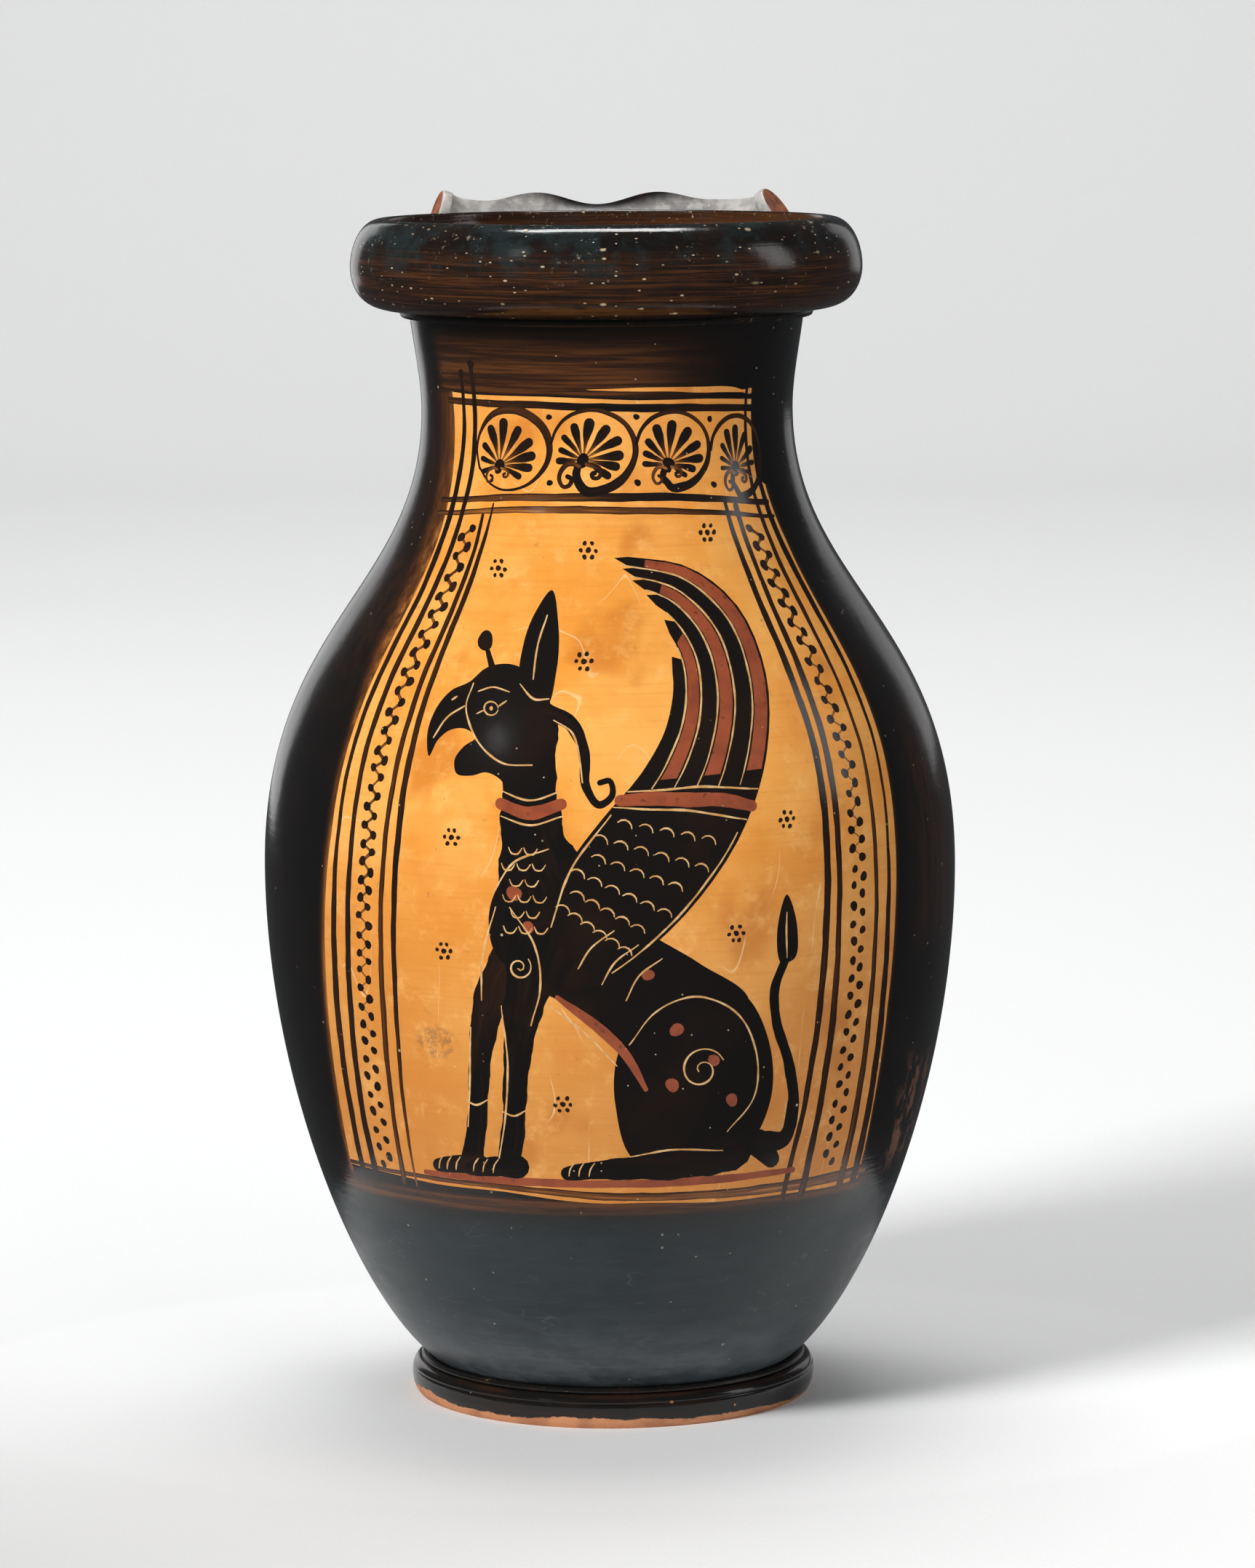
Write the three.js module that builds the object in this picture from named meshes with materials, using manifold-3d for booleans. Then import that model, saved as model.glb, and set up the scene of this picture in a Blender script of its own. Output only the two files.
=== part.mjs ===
// An olpe, a round-mouthed pouring jug of wheel-thrown clay.
// The body and its wide neck are one thrown shell. The foot and the heavy mouth ring are
// turned rings joined to it, with a small fillet of clay over each joint. The handle is a
// pair of clay reeds that leave a scalloped crossbar on the rim, drop in an arch behind
// the neck and die into the shoulder. The bar flares at each end to a flat disc, a rotelle.
//
// Millimetres, +Z up. The vessel's axis is Z, it rests on z = 0, and the handle is at +Y.

import * as THREE from 'three';
import { mergeVertices } from 'three/addons/utils/BufferGeometryUtils.js';
import Module from 'manifold-3d';

// Facets round the axis of every turned piece
const TURNED_FACETS = 44;

// Space left between two pieces that are shaped to one another
const JOINT_GAP = 0.3;

// Body and neck, one thrown shell. Rises are counted from the station below.
const BODY_BASE_RADIUS = 38.7;
const BELLY_RADIUS = 75.6;
const BELLY_RISE = 109.6;
const NECK_RADIUS = 40.3;
const NECK_WAIST_RISE = 100;
const NECK_TOP_RADIUS = 42.9;
const NECK_TOP_RISE = 21.6;
const WALL = 4.8;
const FLOOR = 6;

// How far each stretch of the body's outline keeps its first and last direction,
// as a share of that stretch. They give the low-slung, sagging belly.
const BELLY_SPREAD = 0.453;
const BELLY_FOOT_PULL = 0.101;
const BELLY_GIRTH_PULL = 0.447;
const SHOULDER_GIRTH_PULL = 0.541;
const SHOULDER_NECK_PULL = 0.395;
const NECK_FLARE_PULL = 0.3;
const NECK_FLARE_TURN = 0.35;

// Foot, a turned ring with a torus edge and a recessed underside
const FOOT_HEIGHT = 7.2;
const FOOT_TORUS_BULGE = 2.2;
const FOOT_TORUS_LEVEL = 4.2;
const FOOT_REST_INSET = 1.2;
const FOOT_REST_WIDTH = 12;
const FOOT_RECESS_DRAFT = 3;

// Fillet of clay in the corner between foot and body
const FOOT_FILLET_HEIGHT = 1.2;
const FOOT_FILLET_WIDTH = 3;
const FOOT_FILLET_LEDGE = 0.2;

// Mouth ring, a heavy torus with a hollowed inner wall
const MOUTH_HEIGHT = 19.5;
const MOUTH_OVERHANG = 12.6;
const MOUTH_GIRTH_LEVEL = 9.1;
const MOUTH_CREST_SETBACK = 7.1;
const MOUTH_UNDERSIDE_WIDTH = 3.4;
const MOUTH_INNER_EDGE = 0.9;

// The rim is this much lower at the handle than at the front
const RIM_SAG = 0.9;

// Fillet of clay in the corner between neck and mouth ring
const MOUTH_FILLET_HEIGHT = 1.7;
const MOUTH_FILLET_WIDTH = 1.4;

// Rotelles, the discs at the crossbar's ends
const ROTELLE_RADIUS = 5.6;
const ROTELLE_THICKNESS = 2.6;
const ROTELLE_EDGE_ROUNDING = 0.7;
const ROTELLE_TOP_LEVEL = 4.5;
const ROTELLE_TURN_LEFT = 10;
const ROTELLE_TURN_RIGHT = 21;
const ROTELLE_LIFT_LEFT = 19;
const ROTELLE_LIFT_RIGHT = 36;

// Crossbar. Levels are counted from the plane of the rim, distances along X from its middle.
const BAR_HALF_SPAN = 38.4;
const BAR_SETBACK = 1.6;
const BAR_SAGITTA = 6.7;
const BAR_CORE_LEVEL = -2;
const BAR_MIDDLE_LEVEL = 0.8;
const BAR_CREST_LEVEL = 3.5;
const BAR_SADDLE_LEVEL = 1.8;
const BAR_SADDLE_DISTANCE = 25;
const BAR_FRONT_DEPTH = 3.3;
const BAR_BACK_DEPTH = 4.2;
const BAR_ROOT_DEPTH = 2.6;
const BAR_FRONT_HOLLOW = 2.3;
const BAR_MIDDLE_RUN = 20;
const BAR_END_RUN = 5;
const BAR_STEPS = 18;
const BAR_FACETS = 16;

// Reeds, the two clay rolls of the handle. They lie side by side down the strap
// and part at the top, where each dies into one crest of the crossbar.
const REED_CREST_SPACING = 27;
const REED_WIDTH = 13.2;
const REED_THICKNESS = 10;
const REED_SEAM_HALF_SPACING = 6.2;
const REED_ROOT_HALF_SPACING = 8.2;
const REED_CREST_CLEARANCE = 0.5;
const REED_SHOULDER_LEVEL = 58;
const REED_ROOT_SINK = 9;
const HANDLE_INSET = 1.1;
const HANDLE_ARCH_REACH = 10.5;
const HANDLE_ARCH_DROP = 26;
const HANDLE_ARCH_PULL = 17;
const HANDLE_SHOULDER_BEND = 42;
const HANDLE_SHOULDER_PULL = 20;
const REED_FACETS = 14;

// Places that follow from the sizes above
const bodyLevel = FOOT_HEIGHT;
const girthLevel = bodyLevel + BELLY_RISE;
const waistLevel = girthLevel + NECK_WAIST_RISE;
const neckTopLevel = waistLevel + NECK_TOP_RISE;
const rimLevel = neckTopLevel + MOUTH_HEIGHT;
const footTopRadius = BODY_BASE_RADIUS + JOINT_GAP + FOOT_FILLET_WIDTH + FOOT_FILLET_LEDGE;
const mouthRadius = NECK_TOP_RADIUS + MOUTH_OVERHANG;
const crestRadius = mouthRadius - MOUTH_CREST_SETBACK;
const barCentreY = crestRadius + BAR_SETBACK;
const strapY = BELLY_RADIUS - HANDLE_INSET - REED_THICKNESS / 2;

const wasm = await Module();
wasm.setup();

// Materials

const blackGloss = new THREE.MeshStandardMaterial({ color: 0x1c1613, roughness: 0.28, metalness: 0 });
const brownGloss = new THREE.MeshStandardMaterial({ color: 0x3a2013, roughness: 0.3, metalness: 0 });
const bareClay = new THREE.MeshStandardMaterial({ color: 0xa9502b, roughness: 0.75, metalness: 0 });

// Outlines, in the half plane of a turned piece: x is the radius and y the height

function bezier(start, startPull, endPull, end, steps) {
  return new THREE.CubicBezierCurve(start, startPull, endPull, end).getPoints(steps);
}

function joined(...stretches) {
  return stretches.reduce((line, stretch) => {
    const last = line[line.length - 1];
    const repeats = last && last.distanceTo(stretch[0]) < 1e-6;
    return line.concat(repeats ? stretch.slice(1) : stretch);
  }, []);
}

function point(radius, height) {
  return new THREE.Vector2(radius, height);
}

// The body's outline from its base to the neck's top, with the base at height 0
function bodyOutline() {
  const shoulder = NECK_WAIST_RISE;
  const waist = BELLY_RISE + NECK_WAIST_RISE;
  const top = waist + NECK_TOP_RISE;
  const spread = BELLY_RADIUS - BODY_BASE_RADIUS;
  const belly = bezier(
    point(BODY_BASE_RADIUS, 0),
    point(BODY_BASE_RADIUS + spread * BELLY_SPREAD, BELLY_RISE * BELLY_FOOT_PULL),
    point(BELLY_RADIUS, BELLY_RISE * (1 - BELLY_GIRTH_PULL)),
    point(BELLY_RADIUS, BELLY_RISE),
    15,
  );
  const neck = bezier(
    point(BELLY_RADIUS, BELLY_RISE),
    point(BELLY_RADIUS, BELLY_RISE + shoulder * SHOULDER_GIRTH_PULL),
    point(NECK_RADIUS, waist - shoulder * SHOULDER_NECK_PULL),
    point(NECK_RADIUS, waist),
    14,
  );
  const flare = bezier(
    point(NECK_RADIUS, waist),
    point(NECK_RADIUS, waist + NECK_TOP_RISE * NECK_FLARE_PULL),
    point(NECK_TOP_RADIUS - (NECK_TOP_RADIUS - NECK_RADIUS) * NECK_FLARE_TURN, top - NECK_TOP_RISE * NECK_FLARE_TURN),
    point(NECK_TOP_RADIUS, top),
    5,
  );
  return joined(belly, neck, flare);
}

// The same outline moved square to itself, outwards where the distance is positive
function offsetOutline(outline, distance) {
  return outline.map((here, i) => {
    const before = outline[Math.max(i - 1, 0)];
    const after = outline[Math.min(i + 1, outline.length - 1)];
    const along = after.clone().sub(before).normalize();
    return point(here.x + along.y * distance, here.y - along.x * distance);
  });
}

// The outline's radius at a height above the body's base
function bodyRadiusAt(height) {
  const outline = bodyOutline();
  const i = outline.findIndex((p) => p.y >= height);
  const above = outline[i];
  const below = outline[Math.max(i - 1, 0)];
  const share = above.y > below.y ? (height - below.y) / (above.y - below.y) : 0;
  return THREE.MathUtils.lerp(below.x, above.x, share);
}

// Turned and lofted solids

// Revolves an outline that runs anticlockwise, up on its outer side, and stands it on Z
function turned(outline) {
  return new THREE.LatheGeometry(outline, TURNED_FACETS).rotateX(Math.PI / 2);
}

function turnedRing(outline) {
  return turned([...outline, outline[0].clone()]);
}

// Skins a row of rings of points. Each ring runs anticlockwise about the row's direction.
function loft(rings) {
  const count = rings[0].length;
  const positions = rings.flat().flatMap((p) => [p.x, p.y, p.z]);
  const index = [];
  for (let k = 0; k < rings.length - 1; k += 1) {
    for (let i = 0; i < count; i += 1) {
      const next = (i + 1) % count;
      const a = k * count + i;
      const b = k * count + next;
      index.push(a, b, b + count, a, b + count, a + count);
    }
  }
  for (const [k, front] of [[0, false], [rings.length - 1, true]]) {
    const centre = rings[k].reduce((sum, p) => sum.add(p), new THREE.Vector3()).divideScalar(count);
    const hub = positions.length / 3;
    positions.push(centre.x, centre.y, centre.z);
    for (let i = 0; i < count; i += 1) {
      const a = k * count + i;
      const b = k * count + ((i + 1) % count);
      index.push(hub, front ? a : b, front ? b : a);
    }
  }
  const geometry = new THREE.BufferGeometry();
  geometry.setAttribute('position', new THREE.Float32BufferAttribute(positions, 3));
  geometry.setIndex(index);
  geometry.computeVertexNormals();
  return geometry;
}

// Cutting

function toSolid(geometry) {
  const bare = new THREE.BufferGeometry();
  bare.setAttribute('position', geometry.getAttribute('position'));
  bare.setIndex(geometry.getIndex());
  const merged = mergeVertices(bare);
  const corners = merged.getIndex().array;
  const triangles = [];
  for (let i = 0; i < corners.length; i += 3) {
    const [a, b, c] = corners.slice(i, i + 3);
    if (a !== b && b !== c && c !== a) {
      triangles.push(a, b, c);
    }
  }
  return new wasm.Manifold(new wasm.Mesh({
    numProp: 3,
    vertProperties: merged.getAttribute('position').array,
    triVerts: new Uint32Array(triangles),
  }));
}

function toGeometry(solid) {
  const mesh = solid.getMesh();
  const geometry = new THREE.BufferGeometry();
  geometry.setAttribute('position', new THREE.Float32BufferAttribute(mesh.vertProperties, 3));
  geometry.setIndex(new THREE.Uint32BufferAttribute(mesh.triVerts, 1));
  geometry.computeVertexNormals();
  return geometry;
}

function cutBy(geometry, cutters) {
  return toGeometry(cutters.reduce((solid, cutter) => solid.subtract(toSolid(cutter)), toSolid(geometry)));
}

// Body

function bodyShell() {
  const outside = bodyOutline();
  const top = outside[outside.length - 1].y;
  const inside = offsetOutline(outside, -WALL)
    .filter((p) => p.y > FLOOR + WALL / 4 && p.y < top - WALL / 4)
    .reverse();
  const floorEdge = point(inside[inside.length - 1].x - WALL, FLOOR);
  return turned([
    point(0, 0),
    ...outside,
    point(NECK_TOP_RADIUS - WALL, top),
    ...inside,
    floorEdge,
    point(0, FLOOR),
  ]);
}

// The space that the body fills, with the joint's gap round it
function bodyEnvelope() {
  const outside = offsetOutline(bodyOutline(), JOINT_GAP);
  const base = outside[0];
  const top = outside[outside.length - 1];
  return turned([point(0, base.y), ...outside, point(0, top.y)]).translate(0, 0, bodyLevel);
}

// Foot

function footRing() {
  const torusRadius = footTopRadius + FOOT_TORUS_BULGE;
  const restRadius = torusRadius - FOOT_REST_INSET;
  const recessRadius = restRadius - FOOT_REST_WIDTH;
  const lower = bezier(
    point(restRadius, 0),
    point(torusRadius - FOOT_REST_INSET / 4, FOOT_TORUS_LEVEL / 4),
    point(torusRadius, FOOT_TORUS_LEVEL * 0.6),
    point(torusRadius, FOOT_TORUS_LEVEL),
    4,
  );
  const upper = bezier(
    point(torusRadius, FOOT_TORUS_LEVEL),
    point(torusRadius, (FOOT_TORUS_LEVEL + FOOT_HEIGHT) / 2),
    point(torusRadius - FOOT_TORUS_BULGE / 3, FOOT_HEIGHT),
    point(footTopRadius, FOOT_HEIGHT),
    4,
  );
  return turnedRing([
    point(recessRadius, 0),
    ...joined(lower, upper),
    point(recessRadius - FOOT_RECESS_DRAFT, FOOT_HEIGHT),
  ]);
}

function footFillet() {
  const top = FOOT_FILLET_HEIGHT;
  const seat = bodyRadiusAt(0) + JOINT_GAP;
  const lean = bodyRadiusAt(top) + JOINT_GAP * 2;
  const edge = seat + FOOT_FILLET_WIDTH;
  return turnedRing([
    point(seat, 0),
    point(edge, 0),
    point(edge + top / 4, top / 3),
    point(edge + top / 4, (top * 2) / 3),
    point(edge, top),
    point(Math.min(lean, edge - top / 4), top),
  ]);
}

// Mouth

function mouthOutline() {
  const underside = NECK_TOP_RADIUS + MOUTH_UNDERSIDE_WIDTH;
  const shelf = mouthRadius - underside;
  const crown = mouthRadius - crestRadius;
  const above = MOUTH_HEIGHT - MOUTH_GIRTH_LEVEL;
  const neckBore = NECK_TOP_RADIUS - WALL;
  const mouthBore = crestRadius - MOUTH_INNER_EDGE;
  const below = bezier(
    point(underside, 0),
    point(mouthRadius - shelf * 0.065, 0),
    point(mouthRadius, MOUTH_GIRTH_LEVEL * 0.78),
    point(mouthRadius, MOUTH_GIRTH_LEVEL),
    7,
  );
  const shoulder = bezier(
    point(mouthRadius, MOUTH_GIRTH_LEVEL),
    point(mouthRadius, MOUTH_GIRTH_LEVEL + above * 0.34),
    point(mouthRadius - crown * 0.25, MOUTH_HEIGHT),
    point(crestRadius, MOUTH_HEIGHT),
    8,
  );
  const innerWall = bezier(
    point(mouthBore, MOUTH_HEIGHT - MOUTH_INNER_EDGE),
    point(mouthBore, MOUTH_HEIGHT * 0.62),
    point(neckBore + (mouthBore - neckBore) * 0.4, MOUTH_HEIGHT * 0.35),
    point(neckBore, 0),
    7,
  );
  return joined(below, shoulder, innerWall);
}

// Lowers the back of the rim and lifts its front, in proportion to the height above the neck
function sagRim(geometry) {
  const position = geometry.getAttribute('position');
  for (let i = 0; i < position.count; i += 1) {
    const share = (position.getY(i) / crestRadius) * (position.getZ(i) / MOUTH_HEIGHT);
    position.setZ(i, position.getZ(i) - (share * RIM_SAG) / 2);
  }
  return geometry;
}

function mouthTorus() {
  return sagRim(turnedRing(mouthOutline())).translate(0, 0, neckTopLevel);
}

function mouthEnvelope() {
  const outline = mouthOutline();
  const closed = [...outline, outline[0], outline[1]];
  const grown = offsetOutline([outline[outline.length - 1], ...closed], JOINT_GAP).slice(1, -2);
  return sagRim(turnedRing(grown)).translate(0, 0, neckTopLevel);
}

function mouthFillet() {
  const top = BELLY_RISE + NECK_WAIST_RISE + NECK_TOP_RISE;
  const upper = NECK_TOP_RADIUS + JOINT_GAP;
  const lower = bodyRadiusAt(top - MOUTH_FILLET_HEIGHT) + JOINT_GAP;
  const edge = upper + MOUTH_FILLET_WIDTH;
  const bulge = MOUTH_FILLET_WIDTH / 6;
  return turnedRing([
    point(lower, -MOUTH_FILLET_HEIGHT),
    point(edge - bulge, -MOUTH_FILLET_HEIGHT),
    point(edge + bulge, -MOUTH_FILLET_HEIGHT * 0.65),
    point(edge + bulge, -MOUTH_FILLET_HEIGHT * 0.3),
    point(edge, 0),
    point(upper, 0),
  ]);
}

// Crossbar and rotelles. Side is -1 on the left and 1 on the right.

function rotelleFacing(side) {
  const turn = THREE.MathUtils.degToRad(side < 0 ? ROTELLE_TURN_LEFT : ROTELLE_TURN_RIGHT);
  const lift = THREE.MathUtils.degToRad(side < 0 ? ROTELLE_LIFT_LEFT : ROTELLE_LIFT_RIGHT);
  return new THREE.Vector3(
    side * Math.cos(lift) * Math.cos(turn),
    -Math.cos(lift) * Math.sin(turn),
    Math.sin(lift),
  );
}

// The centre of a rotelle's outer face
function rotelleCentre(side) {
  const facing = rotelleFacing(side);
  const rise = ROTELLE_RADIUS * Math.hypot(facing.x, facing.y);
  return new THREE.Vector3(
    side * BAR_HALF_SPAN,
    barCentreY - BAR_SAGITTA,
    rimLevel + ROTELLE_TOP_LEVEL - rise,
  );
}

// A disc about +Z with its outer face on z = 0
function rotelleDisc(grow) {
  const edge = ROTELLE_RADIUS + grow;
  const rounding = ROTELLE_EDGE_ROUNDING;
  const back = -ROTELLE_THICKNESS - grow;
  return new THREE.LatheGeometry([
    point(0, back),
    point(edge - rounding, back),
    point(edge, back + rounding),
    point(edge, grow - rounding),
    point(edge - rounding / 3, grow - rounding / 3),
    point(edge - rounding, grow),
    point(0, grow),
  ], 24).rotateX(Math.PI / 2);
}

function rotellePlacing(side) {
  const placing = new THREE.Object3D();
  placing.position.copy(rotelleCentre(side));
  placing.quaternion.setFromUnitVectors(new THREE.Vector3(0, 0, 1), rotelleFacing(side));
  placing.updateMatrix();
  return placing;
}

function crossbarPath(side) {
  const facing = rotelleFacing(side);
  const end = rotelleCentre(side).addScaledVector(facing, -ROTELLE_THICKNESS - JOINT_GAP);
  const middle = new THREE.Vector3(0, barCentreY, rimLevel + BAR_CORE_LEVEL);
  return new THREE.CubicBezierCurve3(
    middle,
    middle.clone().setX(side * BAR_MIDDLE_RUN),
    end.clone().addScaledVector(facing, -BAR_END_RUN),
    end,
  );
}

// The level of the bar's top over the rim's plane: low in the middle, a crest over
// each reed and a saddle between the crest and the rotelle
function crossbarTop(distance) {
  const crestAt = REED_CREST_SPACING / 2;
  const [from, to, share] = distance < crestAt
    ? [BAR_MIDDLE_LEVEL, BAR_CREST_LEVEL, distance / crestAt]
    : [BAR_CREST_LEVEL, BAR_SADDLE_LEVEL, (distance - crestAt) / (BAR_SADDLE_DISTANCE - crestAt)];
  const eased = (1 - Math.cos(Math.PI * Math.min(share, 1))) / 2;
  return rimLevel + THREE.MathUtils.lerp(from, to, eased);
}

// One section across the bar. Its front is hollow, and it turns round towards the rotelle.
// The space cut for it in its neighbours is grown and full-fronted, to leave no thin edge.
function crossbarSection(centre, along, grow, endDistance) {
  const distance = Math.abs(centre.x);
  const back = new THREE.Vector3(0, 0, 1).cross(along).normalize();
  const up = along.clone().cross(back);
  const trumpet = THREE.MathUtils.clamp(
    (distance - BAR_SADDLE_DISTANCE) / (endDistance - BAR_SADDLE_DISTANCE), 0, 1) ** 2;
  const toDisc = (size) => THREE.MathUtils.lerp(size, ROTELLE_RADIUS, trumpet) + grow;
  const height = toDisc((crossbarTop(distance) - centre.z) / up.z);
  const root = toDisc(BAR_ROOT_DEPTH);
  const front = toDisc(BAR_FRONT_DEPTH);
  const rear = toDisc(BAR_BACK_DEPTH);
  const hollow = grow > 0 ? 1 : THREE.MathUtils.lerp(BAR_FRONT_HOLLOW, 1, trumpet);
  const section = [];
  for (let i = 0; i < BAR_FACETS; i += 1) {
    const angle = (i / BAR_FACETS) * 2 * Math.PI;
    const across = Math.cos(angle);
    const upward = Math.sin(angle);
    const power = across < 0 && upward > 0 ? hollow : 1;
    const n = Math.sign(across) * Math.abs(across) ** power * (across < 0 ? front : rear);
    const u = Math.sign(upward) * Math.abs(upward) ** power * (upward < 0 ? root : height);
    section.push(centre.clone().addScaledVector(back, n).addScaledVector(up, u));
  }
  return section;
}

function crossbar(grow) {
  const rings = [];
  for (const side of [-1, 1]) {
    const path = crossbarPath(side);
    const endDistance = Math.abs(path.v3.x);
    for (let i = side < 0 ? 0 : 1; i <= BAR_STEPS; i += 1) {
      const t = side < 0 ? 1 - i / BAR_STEPS : i / BAR_STEPS;
      const along = path.getTangent(t).multiplyScalar(side);
      rings.push(crossbarSection(path.getPoint(t), along, grow, endDistance));
    }
  }
  return loft(rings);
}

// Reeds

function reedPath() {
  const top = rimLevel + BAR_CREST_LEVEL - REED_CREST_CLEARANCE - REED_THICKNESS / 2;
  const archFoot = top - HANDLE_ARCH_DROP;
  const rootLevel = neckTopLevel - NECK_TOP_RISE - REED_SHOULDER_LEVEL;
  const bend = rootLevel + HANDLE_SHOULDER_BEND;
  const root = bodyRadiusAt(rootLevel - bodyLevel) - REED_ROOT_SINK;
  const at = (y, z) => new THREE.Vector3(0, y, z);
  const path = new THREE.CurvePath();
  path.add(new THREE.CubicBezierCurve3(
    at(barCentreY, top),
    at(barCentreY + HANDLE_ARCH_REACH, top),
    at(strapY, archFoot + HANDLE_ARCH_PULL),
    at(strapY, archFoot),
  ));
  path.add(new THREE.LineCurve3(at(strapY, archFoot), at(strapY, bend)));
  path.add(new THREE.CubicBezierCurve3(
    at(strapY, bend),
    at(strapY, bend - HANDLE_SHOULDER_PULL),
    at(root + (strapY - root) * 0.75, rootLevel + HANDLE_SHOULDER_PULL / 2),
    at(root, rootLevel),
  ));
  return path;
}

// Half the distance between the two reeds' middles: wide at the crossbar, closed
// down the strap and slightly spread again where they die into the shoulder
function reedHalfSpacing(stretch, share) {
  const eased = (1 - Math.cos(Math.PI * share)) / 2;
  if (stretch === 0) {
    return THREE.MathUtils.lerp(REED_CREST_SPACING / 2, REED_SEAM_HALF_SPACING, eased);
  }
  return stretch === 1
    ? REED_SEAM_HALF_SPACING
    : THREE.MathUtils.lerp(REED_SEAM_HALF_SPACING, REED_ROOT_HALF_SPACING, eased);
}

function reedSection(side, centre, along) {
  const across = new THREE.Vector3(1, 0, 0);
  const inward = along.clone().cross(across);
  const section = [];
  for (let i = 0; i < REED_FACETS; i += 1) {
    const angle = (i / REED_FACETS) * 2 * Math.PI;
    const corner = centre.clone()
      .addScaledVector(across, (Math.cos(angle) * REED_WIDTH) / 2)
      .addScaledVector(inward, (Math.sin(angle) * REED_THICKNESS) / 2);
    corner.x = side * Math.max(side * corner.x, JOINT_GAP / 2);
    section.push(corner);
  }
  return section;
}

function reed(side) {
  const steps = [11, 4, 9];
  const rings = [];
  reedPath().curves.forEach((curve, stretch) => {
    for (let i = stretch === 0 ? 0 : 1; i <= steps[stretch]; i += 1) {
      const share = i / steps[stretch];
      const centre = curve.getPoint(share).setX(side * reedHalfSpacing(stretch, share));
      rings.push(reedSection(side, centre, curve.getTangent(share)));
    }
  });
  return loft(rings);
}

// Assembly

function piece(name, geometry, material, level = 0) {
  const mesh = new THREE.Mesh(geometry, material.clone());
  mesh.name = name;
  mesh.position.z = level;
  return mesh;
}

const olpe = new THREE.Group();
const handle = new THREE.Group();

olpe.add(piece('foot', footRing(), blackGloss));
olpe.add(piece('foot_fillet', footFillet(), brownGloss, bodyLevel));
olpe.add(piece('body', bodyShell(), blackGloss, bodyLevel));
olpe.add(piece('mouth_fillet', mouthFillet(), blackGloss, neckTopLevel));

const rotelleSpaces = [-1, 1].map((side) => rotelleDisc(JOINT_GAP).applyMatrix4(rotellePlacing(side).matrix));
const crossbarSpace = crossbar(JOINT_GAP);
olpe.add(piece('mouth_ring', cutBy(mouthTorus(), [crossbarSpace, ...rotelleSpaces]), brownGloss));

handle.add(piece('handle_crossbar', crossbar(0), blackGloss));
for (const [side, name] of [[-1, 'left'], [1, 'right']]) {
  const strand = cutBy(reed(side), [bodyEnvelope(), mouthEnvelope(), crossbarSpace]);
  handle.add(piece(`handle_reed_${name}`, strand, blackGloss));
  const disc = piece(`rotelle_${name}`, rotelleDisc(0), bareClay);
  const placing = rotellePlacing(side);
  disc.position.copy(placing.position);
  disc.quaternion.copy(placing.quaternion);
  handle.add(disc);
}
olpe.add(handle);

export default olpe;
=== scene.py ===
"""Looks of an olpe, a round-mouthed black-figure pouring jug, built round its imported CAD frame.

Sizes are millimetres in the vessel's own frame: +Z up along its axis, standing on z = 0, the
painted panel at -Y and the handle at +Y. Angles are degrees round the axis, counted from the
front and growing towards +X. Meshes are written in metres.
"""

from __future__ import annotations

import logging
import math
import random
from collections.abc import Callable, Sequence
from dataclasses import dataclass, field
from enum import Enum
from functools import cached_property, partial

import bpy
import numpy as np
from mathutils import Matrix, Vector
from mathutils.geometry import delaunay_2d_cdt


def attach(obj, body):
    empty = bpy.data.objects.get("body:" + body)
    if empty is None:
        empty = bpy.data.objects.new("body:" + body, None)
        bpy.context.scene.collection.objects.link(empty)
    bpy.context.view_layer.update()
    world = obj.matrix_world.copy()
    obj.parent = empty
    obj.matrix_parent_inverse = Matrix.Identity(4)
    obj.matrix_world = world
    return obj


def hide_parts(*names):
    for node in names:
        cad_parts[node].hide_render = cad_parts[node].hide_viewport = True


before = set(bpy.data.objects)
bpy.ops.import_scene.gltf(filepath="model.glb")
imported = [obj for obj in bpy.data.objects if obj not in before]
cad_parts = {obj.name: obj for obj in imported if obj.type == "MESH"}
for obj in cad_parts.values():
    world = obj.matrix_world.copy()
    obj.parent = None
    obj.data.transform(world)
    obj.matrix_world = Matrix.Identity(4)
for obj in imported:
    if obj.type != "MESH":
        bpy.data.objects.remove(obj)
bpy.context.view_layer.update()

LOG = logging.getLogger("olpe")
MM = 0.001
TURNED_COLUMNS = 240
Array = np.ndarray
Material = bpy.types.Material
Points = Sequence[Sequence[float]]
Pair = tuple[float, float]
Triple = tuple[float, float, float]
Floats = tuple[float, ...]
Colour = Triple


# Outlines


def bezier(start: Sequence[float], pull: Sequence[float], draw: Sequence[float], end: Sequence[float],
           steps: int) -> Array:
    """Points along a cubic curve.

    Args:
        start: First point.
        pull: Point that the curve leaves towards.
        draw: Point that the curve arrives from.
        end: Last point.
        steps: Number of stretches between points.

    Returns:
        An array with steps + 1 rows.
    """
    a, b, c, d = (np.asarray(p, float) for p in (start, pull, draw, end))
    t = np.linspace(0, 1, steps + 1)[:, None]
    s = 1 - t
    return s**3 * a + 3 * s * s * t * b + 3 * s * t * t * c + t**3 * d


def run_along(line: Array) -> Array:
    """How far along a line each of its points lies."""
    return np.concatenate([[0.0], np.cumsum(np.linalg.norm(np.diff(line, axis=0), axis=1))])


def joined(*stretches: Array) -> Array:
    """One line made of stretches that may share their end points.

    Args:
        stretches: The stretches, in order.

    Returns:
        The line's points.
    """
    line = stretches[0]
    for stretch in stretches[1:]:
        shared = np.linalg.norm(line[-1] - stretch[0]) < 1e-6
        line = np.vstack([line, stretch[1:] if shared else stretch])
    return line


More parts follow.
